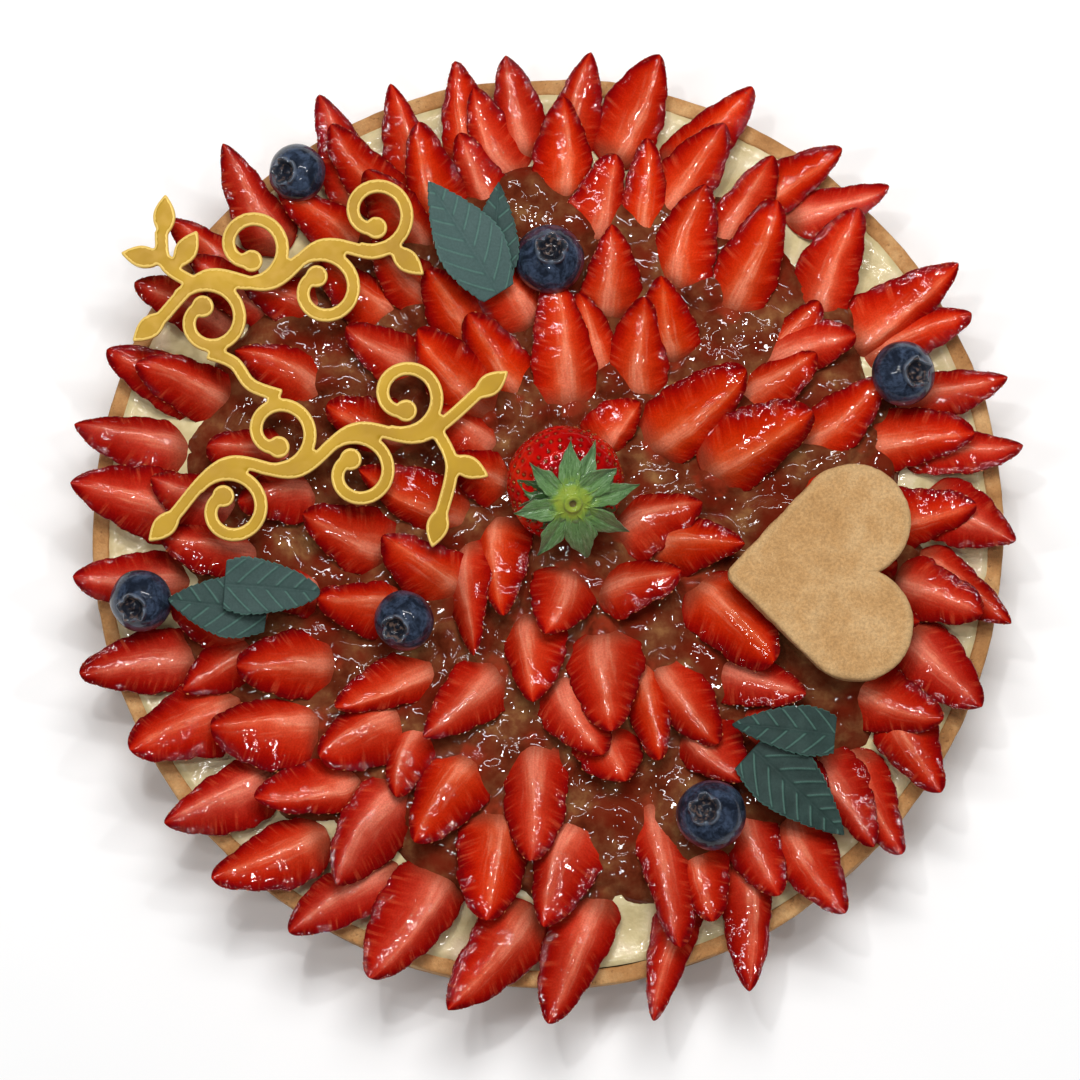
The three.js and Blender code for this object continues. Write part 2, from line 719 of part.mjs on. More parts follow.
// A flat stem of even width along a line of points.
function stemSolid(points) {
  const left = [];
  const right = [];
  points.forEach((point, i) => {
    const before = points[Math.max(0, i - 1)];
    const after = points[Math.min(points.length - 1, i + 1)];
    const along = after.clone().sub(before).normalize();
    const across = new THREE.Vector2(-along.y, along.x).multiplyScalar(STEM_WIDTH / 2);
    left.push(point.clone().add(across));
    right.push(point.clone().sub(across));
  });
  return plateSolid([...right, ...left.reverse()]);
}

function stemPoints(knots) {
  const curve = new THREE.SplineCurve(knots.map(([x, y]) => new THREE.Vector2(x, y)));
  return curve.getPoints(STEPS_PER_SPAN * (knots.length - 1));
}

function planeHeading(heading) {
  return new THREE.Vector2(Math.cos(radians(heading)), Math.sin(radians(heading)));
}

function scrollPoints({ start, heading, side }) {
  const points = [new THREE.Vector2(...start)];
  const steps = SCROLL_TURN / SCROLL_STEP;
  for (let i = 0; i < steps; i += 1) {
    const radius = THREE.MathUtils.lerp(SCROLL_RADIUS, SCROLL_END_RADIUS, i / steps);
    const step = planeHeading(heading + side * SCROLL_STEP * (i + 0.5));
    points.push(points[i].clone().addScaledVector(step, radius * radians(SCROLL_STEP)));
  }
  return points;
}

function beadSolid(centre) {
  const sides = Array.from({ length: BEAD_SIDES }, (_, i) => planeHeading((360 * i) / BEAD_SIDES));
  return plateSolid(sides.map((side) => side.multiplyScalar(BEAD_RADIUS).add(centre)));
}

// A pointed oval leaf from its start along its heading.
function spraySolid({ start, heading }) {
  const along = planeHeading(heading);
  const across = new THREE.Vector2(-along.y, along.x);
  const edge = (share, side) => {
    const half = (SPRAY_WIDTH / 2) * Math.sin(Math.PI * share);
    return new THREE.Vector2(...start)
      .addScaledVector(along, SPRAY_LENGTH * share)
      .addScaledVector(across, side * half);
  };
  const shares = [0, 0.25, 0.5, 0.75];
  const right = shares.map((share) => edge(share, -1));
  const left = shares.map((share) => edge(1 - share, 1));
  return plateSolid([...right, ...left]);
}

function ornamentGeometry() {
  const scrolls = SCROLLS.map(scrollPoints);
  const stems = [...STEMS.map(stemPoints), ...scrolls].map(stemSolid);
  const beads = scrolls.map((points) => beadSolid(points.at(-1)));
  const joined = [...stems, ...beads, ...SPRAYS.map(spraySolid)].reduce((all, part) => all.add(part));
  const turn = new THREE.Matrix4().makeRotationZ(radians(ORNAMENT_TURN));
  return geometryOf(joined).applyMatrix4(turn.setPosition(onTart(ORNAMENT_AT)));
}

// ---- The tart ----
const tart = new THREE.Group();

const keepOuts = [
  caseKeepOut(),
  solidOf(berryGeometry(GAP)),
  ...BLUEBERRIES.map((berry) => solidOf(blueberryGeometry(berry, GAP))),
  ...LEAVES.map((leaf) => solidOf(leafGeometry(leaf, GAP))),
  heartKeepOut(),
];

tart.add(piece("crust", caseGeometry(), COLOURS.crust, 0.85));
tart.add(piece("cream", creamGeometry(), COLOURS.cream, 0.35));
tart.add(piece("strawberry_slices", slicesGeometry(keepOuts), COLOURS.slices, 0.25));
tart.add(piece("whole_strawberry", berryGeometry(), COLOURS.berry, 0.25));
tart.add(piece("strawberry_calyx", calyxGeometry(), COLOURS.calyx, 0.6));
BLUEBERRIES.forEach((berry, i) => {
  tart.add(piece(`blueberry_${i + 1}`, blueberryGeometry(berry), COLOURS.blueberry, 0.45));
});
LEAVES.forEach((leaf, i) => {
  tart.add(piece(`fondant_leaf_${i + 1}`, leafGeometry(leaf), COLOURS.leaf, 0.6));
});
tart.add(piece("heart_biscuit", heartGeometry(), COLOURS.biscuit, 0.9));
tart.add(piece("gold_ornament", ornamentGeometry(), COLOURS.gold, 0.2, 1));

export default tart;
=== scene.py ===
"""The looks of a 25 cm strawberry tart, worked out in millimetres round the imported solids.

Every solid is replaced by a finer piece of the same form in the same place: the slices get their own bends,
rounded tips, pitted skins and seeds, the bed becomes lumps of jelly over cream, and the toppings get their
veins, crowns, streaks and crumb.
"""

import math
from collections import namedtuple

import bpy
import numpy as np
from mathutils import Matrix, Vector


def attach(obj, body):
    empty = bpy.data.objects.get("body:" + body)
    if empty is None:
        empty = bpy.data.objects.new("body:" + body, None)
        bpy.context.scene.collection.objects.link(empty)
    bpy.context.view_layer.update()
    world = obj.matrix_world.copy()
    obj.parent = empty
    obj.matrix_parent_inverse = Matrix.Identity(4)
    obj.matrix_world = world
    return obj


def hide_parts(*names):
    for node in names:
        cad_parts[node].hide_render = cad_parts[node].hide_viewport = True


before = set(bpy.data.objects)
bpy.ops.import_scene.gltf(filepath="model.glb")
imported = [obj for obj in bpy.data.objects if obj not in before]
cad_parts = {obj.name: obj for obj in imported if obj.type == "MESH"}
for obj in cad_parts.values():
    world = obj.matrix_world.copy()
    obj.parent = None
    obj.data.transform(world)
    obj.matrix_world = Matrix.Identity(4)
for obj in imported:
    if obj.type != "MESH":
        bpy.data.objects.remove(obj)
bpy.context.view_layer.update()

# ---- Sizes in millimetres, as the solids have them ----
MM = 0.001
CASE_RADIUS = 125
CASE_HEIGHT = 22
CASE_WALL = 4.6
CASE_BASE = 4.5
CREAM_TOP = 20.8
GAP = 0.3
FRUIT_OFFSET_Y = -2.4  # the fruit is laid about a point a little in front of the case's middle

WEDGE_HALF_ANGLE = math.radians(58)  # half the angle between a slice's two cut faces
SLICE_WIDEST = 0.3  # where a slice is widest, as a share of its length
SLICE_BROAD_END = 0.72  # width of its broad end, as a share of the widest
SLICE_BROAD_END_SINK = 4  # how far its broad end bends down into the bed
ROLL_RANGE = 9  # degrees a slice may lean to either side
LIFT_RANGE = 0.7  # how far a slice may lie higher or lower than its ring

# Each ring of slices: how far the ridge stands above the cream at the broad end and at the tip, beyond the
# slice's own thickness, and then its slices. A slice is azimuth and reach of its tip from the middle of the
# fruit, how far its direction turns from straight outwards, length, width across the cut faces, and the roll
# where it isn't lying on its skin.
RINGS = [
    (0.5, 2.5, [
        (10.5, 132, -13, 34, 14.5), (19, 133, -7, 33, 14.5), (27.5, 131, -6, 33, 14.5),
        (33.5, 135, 2, 39, 18.5), (45.5, 134, -32, 30, 14), (53, 134, -23, 33, 15),
        (65.5, 136, -24, 33, 14.5), (77, 136, -11, 33, 19), (85, 134, -10, 30, 16), (95, 133, 5, 30, 15),
        (101, 133.5, -3, 30, 15), (109, 132, -9, 32, 14), (117.5, 137, -8, 34, 15.5),
        (129.5, 140, -11, 34, 15.5), (140, 136, -4, 32, 15.5), (148.5, 133, 6, 31, 15.5),
        (157, 131, -7, 32, 15.5), (167, 133, 1, 33, 16.5), (174, 131, -9, 34, 20.5), (185, 130, -7, 32, 17),
        (196.5, 133, -8, 34, 18), (207.5, 128, -1, 33, 22), (217, 130.5, -14, 33, 19),
        (226, 131, -23, 34, 19), (237, 129, -27, 35, 17), (248, 130, -13, 37, 21.5),
        (258, 132, -29, 37, 20.5), (270, 133, -22, 39, 18), (282, 135, -29, 38, 13.5),
        (293.5, 135.5, -21, 40, 15), (308, 131, -11, 32, 18.5), (317.5, 129.5, -24, 32, 16),
        (326.5, 128, -32, 30, 18), (338, 127, -26, 30, 19.5), (349, 128.5, -23, 33, 16),
        (359, 127.5, -27, 28, 19.5),
    ]),
    (1, 6, [
        (4, 117.5, 9, 30, 17.5), (13, 120, -8, 32, 17.5), (46.5, 124, 21, 35, 18),
        (59.5, 121.5, 1, 33, 16.5), (66.5, 123.5, -13, 33, 18), (76, 113, 11, 32, 13.5),
        (80, 107, -6, 28, 16), (88, 121, 2, 30, 17), (99.5, 125.5, 18, 29, 15), (102.5, 114, 15, 28, 13.5),
        (107.5, 119.5, 1, 31, 17), (118, 128, 13, 34, 15.5), (128, 121, 15, 31, 15.5),
        (142, 124, 9, 29, 15.5), (157.5, 122.5, -3, 30, 16.5), (172, 110, -13, 28, 19),
        (181, 106, -5, 30, 17), (190, 105, -30, 27, 15.5), (203.5, 109, 5, 28, 17),
        (210, 106.5, -26, 32, 21.5), (222, 108, -27, 32, 18), (239, 112, -6, 35, 20.5),
        (261, 107.5, 3, 32, 20.5), (269.5, 108, -18, 34, 20.5), (287.5, 118.5, -8, 44, 16.5),
        (293, 115.5, -12, 25, 14.5), (302.5, 117.5, -12, 30, 16.5), (316, 123.5, -15, 33, 16),
        (335, 119.5, 3, 29, 18.5), (349.5, 121, -11, 28, 17),
    ]),
    (2, 8, [
        (25, 102, 14, 32, 16.5), (32.5, 101, -17, 29, 16.5), (40.5, 99, 8, 24, 14),
        (55.5, 111.5, 10, 35, 18), (65.5, 106, 7, 32, 18.5), (78.5, 87.5, 11, 28, 17.5),
        (116.5, 112.5, 7, 30, 15.5), (129.5, 98.5, 11, 28, 15.5), (140.5, 109, 14, 29, 15.5),
        (150, 100, 4, 29, 16.5), (166, 97, 5, 28, 15.5), (175, 86, 14, 25, 16.5), (203, 93, -19, 30, 20),
        (225, 88.5, -16, 28, 20), (240.5, 84, 8, 26, 14.5), (247, 93, -10, 31, 20), (267, 90.5, 1, 36, 18.5),
        (287, 73, 3, 20, 20), (308, 87.5, 1, 24, 18.5), (327.5, 84, 12, 28, 16.5), (346.5, 105, 4, 28, 17),
        (355, 96.5, 4, 28, 17),
    ]),
    (2.5, 9, [
        (8.5, 95, 4, 28, 15.5), (25, 80, 6, 35, 22), (33.5, 89.5, -2, 28, 15.5), (67, 78, 30, 26, 18.5),
        (89, 71, 8, 38, 18), (103.5, 78, 24, 25, 17.5), (114.5, 80.5, 6, 28, 17.5), (121, 95, 16, 28, 15.5),
        (135, 80, 17, 27, 15.5), (150, 71, 10, 27, 16.5), (161, 55.5, -4, 36, 17.5),
        (175, 68, -15, 29, 18.5), (195.5, 66.5, -22, 28, 16), (219.5, 76, -15, 33, 15.5),
        (238, 66.5, -17, 31, 18.5), (284, 64, 13, 28, 20), (295.5, 70, -15, 31, 13.5),
        (308.5, 75, -5, 31, 16.5), (329, 72, -15, 33, 20.5),
    ]),
    (2.5, 9, [
        (40, 71, -2, 36, 20), (68, 71, 17.5, 31, 18), (110, 65, 15, 29, 15.5), (123, 67, 11, 32, 20),
        (134, 49, 16, 25, 16.5), (180, 46, -35, 29, 18), (243, 38.5, 38, 34, 17.5, 40), (266, 48, 8, 28, 18),
        (287, 58.5, -14, 31, 21), (357, 55, 7, 29, 18.5),
    ]),
    (3.5, 9, [
        (10, 44, 6, 27, 18), (55, 45, -10, 20, 14.5), (83.5, 67, 22.5, 26, 13.5), (144, 36, 16, 22, 16.5),
        (244.5, 26.5, 26, 31, 17), (267.5, 29.5, -19, 22, 19), (342, 39.5, 25, 25, 18, -30),
    ]),
    (2.5, 7, [  # these four carry the fondant leaves
        (190, 82.5, -13, 22, 14.5), (190, 99.5, -15, 25, 17), (315.5, 106.5, 0, 28, 16),
        (324, 91.5, 30, 24, 14.5),
    ]),
]

BERRY_CENTRE = (4.6, 13.2, 38)
BERRY_LEAN = (2.1, -7.1, 13)  # direction of its stalk
BERRY_RADIUS = 16
BERRY_CROWN = 11.5  # from the widest ring up to the stalk
BERRY_TAIL = 16  # from the widest ring down to where it meets the bed
BERRY_OUTLINE = [(0.42, -1), (0.8, -0.55), (0.97, -0.22), (1, 0.08), (0.94, 0.42), (0.74, 0.76), (0.42, 0.95)]

# Sepals: azimuth, length, width.
SEPALS = [(8, 19.5, 6), (42, 15, 8), (67, 17.5, 5), (97, 17, 6), (142, 16, 5.5), (197, 16, 6.5),
          (247, 19.5, 6.5), (284, 19.5, 8), (323, 21, 6.5)]

# Blueberries: middle, diameter, and the direction in plan and the tilt from upright of the crown.
BLUEBERRIES = [
    ((-68.6, 99, 34.6), 16, 190, 28),
    ((0.4, 74.6, 37.7), 19, 75, 12),
    ((96.6, 43.3, 38), 17.7, 350, 25),
    ((-110.4, -18.5, 35), 17, 235, 25),
    ((-38.9, -24.3, 38.6), 16.4, 230, 28),
    ((44, -76.8, 38), 19, 150, 15),
]
BLUEBERRY_FLATTENING = 0.9  # it is a little lower than it is wide

# Fondant leaves: where the broad end lies, the direction they point in plan, length, width, pitch and roll.
LEAVES = [
    ((-13.5, 64.7, 41.1), 122, 36, 19, 4, 4),
    ((-14.9, 67.6, 39), 87, 28, 13.5, 4, 0),
    ((-76.2, -22.2, 36.3), 172, 27, 17, 5, 0),
    ((-87.4, -14.8, 41.7), 356, 26, 16, -8, 0),
    ((77.5, -55.3, 37.5), 174, 28, 14, 1, 6),
    ((55.3, -58.9, 36.7), 317, 34, 19, -6, 0),
]
LEAF_THICKNESS = 1.3

HEART_CENTRE = (73.2, -11.7, 39.4)
HEART_THICKNESS = 5
HEART_LOBE_RADIUS = 15.5
HEART_LOBE = (9.5, 14)  # middle of a lobe from the biscuit's middle
HEART_POINT = -26  # where the straight sides would meet
HEART_TIP_RADIUS = 3
HEART_TURN = 1
HEART_TILT = 2

# The ornament in its own plane: two vines, the link between them and two sprigs; scrolls that leave a vine
# (start, heading, side they curl to); and small leaves (start, heading).
ORNAMENT_AT = (-61, 48, 39.7)
ORNAMENT_TURN = 15
ORNAMENT_THICKNESS = 2.4
STEM_WIDTH = 3.6
STEMS = [
    [(-40, 21), (-25, 29), (-9, 22.5), (7, 29), (20, 23.5), (27, 24.5)],
    [(-50, -32), (-33, -22), (-15, -29), (3, -22), (20, -28.5), (38, -21)],
    [(-30, 8.5), (-24, 4), (-21, -3), (-14, -8)],
    [(-29, 28), (-35, 35), (-34, 44)],
    [(24, -27), (26, -38), (20, -50)],
]
SCROLL_RADIUS = 10.5
SCROLL_END_RADIUS = 4
SCROLL_TURN = 396
BEAD_RADIUS = 3
SCROLLS = [
    ((-34, 25.5), 32, -1), ((-18, 25.5), -32, 1), ((-2, 25.5), 32, -1), ((17, 25.5), -32, 1),
    ((-42, -26.5), 36, -1), ((-24, -25.5), -34, 1), ((-6, -25.5), 34, -1), ((12, -25), -32, 1),
]
SPRAY_LENGTH = 12
SPRAY_WIDTH = 5.6
SPRAYS = [((-38, 22), 205), ((-34, 42), 72), ((-35, 36), 155), ((-33, 33), 45), ((25, 24), -55),
          ((-48, -31), 210), ((36, -22), 22), ((21, -48), 240), ((25.5, -36), 320)]


# ---- Helpers: numbers and frames ----
def repeatable_draws(state=7):
    """The draws that the solids' own source makes, so that each slice lies where its solid does."""
    while True:
        state = (state * 1664525 + 1013904223) % 2**32
        yield state / 2**32


def smooth(value, low, high):
    """From 0 at low to 1 at high, with a soft start and end."""
    share = np.clip((value - low) / (high - low), 0, 1)
    return share * share * (3 - 2 * share)


def ripple(points, size, seed, waves=14):
    """Unevenness from about -1 to 1 at points, some `size` millimetres from crest to crest."""
    draw = np.random.default_rng(seed)
    directions = draw.normal(size=(waves, 3))
    directions /= np.linalg.norm(directions, axis=1)[:, None]
    phases = draw.uniform(0, 2 * math.pi, waves)
    stretch = draw.uniform(0.7, 1.4, waves)
    turns = np.asarray(points) @ (directions * (2 * math.pi / size * stretch)[:, None]).T + phases
    return np.sin(turns).sum(axis=-1) / math.sqrt(2 * waves)


def stacked(*parts):
    """Points, or triples of painted values, from parts that may differ in shape."""
    return np.stack(np.broadcast_arrays(*parts), -1)


def on_tart(point):
    """A point in the fruit's own frame, moved into the tart's."""
    return np.array(point, float) + (0, FRUIT_OFFSET_Y, 0)


def heading_vector(heading, pitch=0):
    heading, pitch = math.radians(heading), math.radians(pitch)
    flat = math.cos(pitch)
    return np.array([flat * math.cos(heading), flat * math.sin(heading), math.sin(pitch)])


def unit(vectors):
    return vectors / np.linalg.norm(vectors, axis=-1, keepdims=True)


class Place:
    """A frame: an origin, and axes as the columns of a matrix."""

    def __init__(self, origin, axes):
        self.origin = np.array(origin, float)
        self.axes = np.array(axes, float)

    def __call__(self, points):
        return np.asarray(points) @ self.axes.T + self.origin

    def turned(self, vectors):
        return np.asarray(vectors) @ self.axes.T

    def raised(self, height):
        return Place(self.origin + self.axes[:, 2] * height, self.axes)


def along(origin, direction, roll=0):
    """X points along the direction, Z as near upright as that allows, then rolled about X by degrees."""
    x = unit(direction)
    y = unit(np.cross((0, 0, 1), x))
    z = np.cross(x, y)
    cos, sin = math.cos(math.radians(roll)), math.sin(math.radians(roll))
    return Place(origin, np.column_stack([x, cos * y + sin * z, cos * z - sin * y]))


def tipped(origin, azimuth, tilt):
    """Z leans by tilt towards the azimuth."""
    turn, lean = math.radians(azimuth), math.radians(tilt)
    about_z = np.array([[math.cos(turn), -math.sin(turn), 0], [math.sin(turn), math.cos(turn), 0], [0, 0, 1]])
    about_y = np.array([[math.cos(lean), 0, math.sin(lean)], [0, 1, 0], [-math.sin(lean), 0, math.cos(lean)]])
    return Place(origin, about_z @ about_y)


def curve_through(points, steps):
    """A smooth line through the points, with so many steps to each span."""
    knots = np.array([points[0], *points, points[-1]], float)
    t = np.arange(steps)[:, None] / steps
    spans = []
    for a, b, c, d in zip(knots, knots[1:], knots[2:], knots[3:]):
        bend = (2 * a - 5 * b + 4 * c - d) * t**2 + (3 * b - a - 3 * c + d) * t**3
        spans.append(b + ((c - a) * t + bend) / 2)
    return np.vstack([*spans, knots[-1:]])


# ---- Helpers: meshes ----
def skinned(rings):
    """The closed skin through rings of points that run anticlockwise seen from the last ring."""
    rows, columns = rings.shape[:2]
    row = np.arange(rows - 1)[:, None] * columns
    column = np.arange(columns)[None, :]
    following = (column + 1) % columns
    sides = np.stack([row + column, row + following, row + columns + following, row + columns + column], -1)
    first = np.arange(columns)[None, ::-1]
    last = np.arange(columns)[None, :] + (rows - 1) * columns
    return rings.reshape(-1, 3), [sides.reshape(-1, 4), first, last]


def turned(profile, sides):
    """Rings of points: a profile of radius and height turned about the Z axis."""
    radius, height = np.asarray(profile, float).T
    angle = 2 * math.pi * np.arange(sides) / sides
    return stacked(radius[:, None] * np.cos(angle), radius[:, None] * np.sin(angle), height[:, None])


class Heap:
    """Points, faces and painted values that together become one piece."""

    def __init__(self):
        self.points, self.faces, self.values = [], [], {}
        self.count = 0

    def add(self, points, faces, **values):
        points = np.asarray(points, float).reshape(-1, 3)
        for block in faces:
            self.faces.extend((np.asarray(block) + self.count).tolist())
        for name, value in values.items():
            value = np.asarray(value, float)
            value = value.reshape(-1, value.shape[-1])
            self.values.setdefault(name, []).append(np.broadcast_to(value, points.shape))
        self.points.append(points)
        self.count += len(points)

    def mesh(self, name):
        mesh = bpy.data.meshes.new(name)
        mesh.from_pydata(np.vstack(self.points) * MM, [], self.faces)
        for label, blocks in self.values.items():
            paint_on(mesh, label, np.vstack(blocks))
        return mesh

    def piece(self, name, material, slot, *nodes):
        dressed(self.mesh(name), name, material, slot, *nodes)


def whole_piece(points, faces, *looks, **values):
    """A piece that is made in one go: looks are what Heap.piece takes."""
    heap = Heap()
    heap.add(points, faces, **values)
    heap.piece(*looks)


def paint_on(mesh, name, values):
    """Three values for each point, which a material finds under the name."""
    made = mesh.attributes.new(name, "FLOAT_VECTOR", "POINT")
    made.data.foreach_set("vector", values.astype(np.float32).ravel())


def linked(made):
    bpy.context.scene.collection.objects.link(made)
    return made


def dressed(mesh, name, material, slot, *nodes):
    """An object of the tart from its final mesh."""
    mesh.shade_smooth()
    mesh.materials.append(material)
    piece = linked(bpy.data.objects.new(name, mesh))
    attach(piece, "root")
    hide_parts(*nodes)


def seed_body():
    """Corners and faces of a small round body, 2 across."""
    golden = (1 + math.sqrt(5)) / 2
    corners = []
    for a in (-1, 1):
        for b in (-golden, golden):
            corners += [(0, a, b), (a, b, 0), (b, 0, a)]
    corners = unit(np.array(corners, float))
    edge = 2 / math.sqrt(golden * math.sqrt(5)) + 0.01
    near = np.linalg.norm(corners[:, None] - corners[None], axis=-1) < edge
    faces = []
    for a in range(12):
        for b in range(a + 1, 12):
            for c in range(b + 1, 12):
                if near[a, b] and near[b, c] and near[a, c]:
                    out = np.dot(np.cross(corners[b] - corners[a], corners[c] - corners[a]), corners[a]) > 0
                    faces.append((a, b, c) if out else (a, c, b))
    return corners, np.array(faces)


SEED_CORNERS, SEED_FACES = seed_body()


def add_seeds(heap, place, seeds, lift, size):
    """Small round bodies, lifted off their spots. Seeds are spots, the way they point and the way out, in
    the place's own frame, and size is length, width and height, halved."""
    spots, long_way, outwards = seeds
    centres = place(spots + lift * outwards)
    long_way, outwards = unit(place.turned(long_way)), place.turned(outwards)
    across = unit(np.cross(outwards, long_way))
    axes = np.stack([long_way, across, np.cross(long_way, across)], 1)
    corners = centres[:, None] + np.einsum("ck,nkx->ncx", SEED_CORNERS * size, axes)
    faces = SEED_FACES[None] + len(SEED_CORNERS) * np.arange(len(centres))[:, None, None]
    heap.add(corners, [faces.reshape(-1, 3)])


# ---- Helpers: paints ----
def rgb(red, green, blue):
    """A colour as the screen shows it, 0 to 255, as the renderer takes it."""
    screen = np.array([red, green, blue]) / 255
    linear = np.where(screen <= 0.04045, screen / 12.92, ((screen + 0.055) / 1.055) ** 2.4)
    return (*linear.tolist(), 1)


class Paint:
    """A material built node by node. What a node takes is a value or another node's output."""

    def __init__(self, name):
        self.material = bpy.data.materials.new(name)
        self.material.use_nodes = True
        self.tree = self.material.node_tree
        self.tree.nodes.clear()
        metres = self.node("ShaderNodeTexCoord", {}).outputs["Object"]
        scaled = self.node("ShaderNodeVectorMath", {0: metres, "Scale": 1 / MM}, operation="SCALE")
        self.where = scaled.outputs[0]  # where a point is on the object, in millimetres

    def node(self, kind, inputs, **settings):
        made = self.tree.nodes.new(kind)
        for key, value in settings.items():
            setattr(made, key, value)
        for key, value in inputs.items():
            if isinstance(value, bpy.types.NodeSocket):
                self.tree.links.new(value, made.inputs[key])
            else:
                made.inputs[key].default_value = value
        return made

    def painted(self, name):
        """The three values painted on the mesh under a name, and all three as one vector."""
        vector = self.node("ShaderNodeAttribute", {}, attribute_name=name).outputs["Vector"]
        split = self.node("ShaderNodeSeparateXYZ", {0: vector})
        return (*split.outputs, vector)

    def vector(self, x, y, z):
        return self.node("ShaderNodeCombineXYZ", {0: x, 1: y, 2: z}).outputs[0]

    def math(self, operation, a, b=0.0, c=0.0):
        return self.node("ShaderNodeMath", {0: a, 1: b, 2: c}, operation=operation).outputs[0]

    def times(self, a, b):
        return self.math("MULTIPLY", a, b)

    def noise(self, size, detail=2.0, roughness=0.5, distortion=0.0, at=None):
        """Uneven values about 0.5, with patches of about that size."""
        inputs = {"Vector": self.where if at is None else at, "Scale": 1 / size, "Detail": detail,
                  "Roughness": roughness, "Distortion": distortion}
        return self.node("ShaderNodeTexNoise", inputs).outputs[0]

    def cells(self, size):
        """How far a point is from the middle of its cell."""
        inputs = {"Vector": self.where, "Scale": 1 / size}
        return self.node("ShaderNodeTexVoronoi", inputs).outputs["Distance"]

    def between(self, value, low, high, start=0.0, end=1.0):
        """From start where the value is low to end where it is high, softly."""
        inputs = {"Value": value, "From Min": low, "From Max": high, "To Min": start, "To Max": end}
        return self.node("ShaderNodeMapRange", inputs, interpolation_type="SMOOTHSTEP").outputs[0]

    def mix(self, share, a, b, blend="MIX"):
        made = self.node("ShaderNodeMix", {0: share, 6: a, 7: b}, data_type="RGBA", blend_type=blend)
        return made.outputs[2]

    def tinted(self, colour, share, *tint):
        return self.mix(share, colour, rgb(*tint))

    def shaded(self, colour, shade):
        return self.mix(1.0, colour, shade, "MULTIPLY")

    def speckled(self, colour, uneven, dark, light):
        """The colour, from dark to light times as bright."""
        return self.shaded(colour, self.between(uneven, 0.3, 0.7, dark, light))

    def ramp(self, value, *stops):
        made = self.node("ShaderNodeValToRGB", {0: value})
        elements = made.color_ramp.elements
        while len(elements) < len(stops):
            elements.new(1)
        for element, (position, colour) in zip(elements, stops):
            element.position = position
            element.color = rgb(*colour)
        return made.outputs[0]

    def mottled(self, value, dark, middle, light, reach=0.2):
        """Three colours over uneven values about 0.5; the reach is how far off 0.5 the outer two lie."""
        return self.ramp(value, (0.5 - reach, dark), (0.5, middle), (0.5 + reach, light))

    def bump(self, height, distance):
        """A normal from heights, where a height of 1 is so many millimetres."""
        inputs = {"Height": height, "Distance": distance * MM, "Strength": 1.0}
        return self.node("ShaderNodeBump", inputs).outputs[0]

    def finish(self, colour, roughness, relief=None, glaze=None, **inputs):
        """The shader itself. Relief and glaze are heights and the millimetres that a height of 1 stands for,
        and inputs are further sockets' names, with _ for a space."""
        named = {key.replace("_", " "): value for key, value in inputs.items()}
        named |= {"Base Color": colour, "Roughness": roughness}
        if relief:
            named |= {"Normal": self.bump(*relief)}
        if glaze:
            named |= {"Coat Weight": 1.0, "Coat Normal": self.bump(*glaze)}
        shader = self.node("ShaderNodeBsdfPrincipled", named)
        self.node("ShaderNodeOutputMaterial", {0: shader.outputs[0]})
        return self.material


# ---- Strawberry slices ----
RIDGE_SOFTNESS = 1.6  # how far the rounded ridge lies below a sharp one
SEED_PITCH = 2.6  # between seeds in a row, along the berry
SEED_ROW = 1.9  # between rows of seeds round the skin
PIT_DEPTH = 0.34  # of the dents that the seeds lie in
TIP_DROP = 0.12  # the tip bends down by this share of the slice's depth
BROAD_END_ROUNDING = 5.5  # length over which the broad end is rounded in plan
BROAD_END_NARROWING = 0.93  # 1 would round it off to a point
BROAD_END_DROP = 0.25  # how far the rounding lowers it, as a share of the slice's depth
BROAD_END_BEND = 0.4  # share of the length that bends down at the broad end
# Each slice's own form is drawn between these.
BOW = (-1.5, 1.5)  # sideways bend
SAG = (-0.7, 0.5)  # upward bend
WANDER = (-0.32, 0.32)  # how far the ridge strays from the middle, as a share of the depth
SKEW = (-8, 8)  # degrees by which one cut face is wider than the other
SWELL = (-0.06, 0.06)  # of its outline
STRAIGHTNESS = (1.15, 1.8)  # 1 makes the sides straight up to the tip
LOPSIDED = (-0.07, 0.07)  # how much blunter the tip is on one side
TIP_POWERS = {0: (0.5, 0.72), 1: (0.46, 0.66)}  # by ring; 0.5 makes a tip half an ellipse
INNER_TIP_POWERS = (0.42, 0.74)
RIDGE_WEAVE = 0.6  # how far the ridge swings to either side along the slice
FACE_WAVE = 0.14  # height of the waves on the cut faces
SLICE_SEED = (0.52, 0.34, 0.26)  # half the length, width and height of a seed
SEED_STANDS_OUT = 0.12
STATIONS = 58  # rings of points along a slice
FACE_SHARES = [0.1, 0.24, 0.4, 0.56, 0.7, 0.82, 0.91, 0.97]  # points across a cut face
SKIN_TURNS = [0.93, 0.8, 0.6, 0.33]  # and round half the skin
# Rings by the piece that they make up.
PIECE_RINGS = {"outer": (0,), "second": (1,), "third": (2, 6), "inner": (3, 4, 5)}
OUTERNESS = {0: 1, 1: 0.75, 2: 0.5, 6: 0.6}  # by ring, 0.1 elsewhere: outer slices are more crimson
SEED_ROWS = {0: 4, 1: 3}  # rows of seeds that show, by ring; one elsewhere
ROLLED_SEED_ROWS = 6


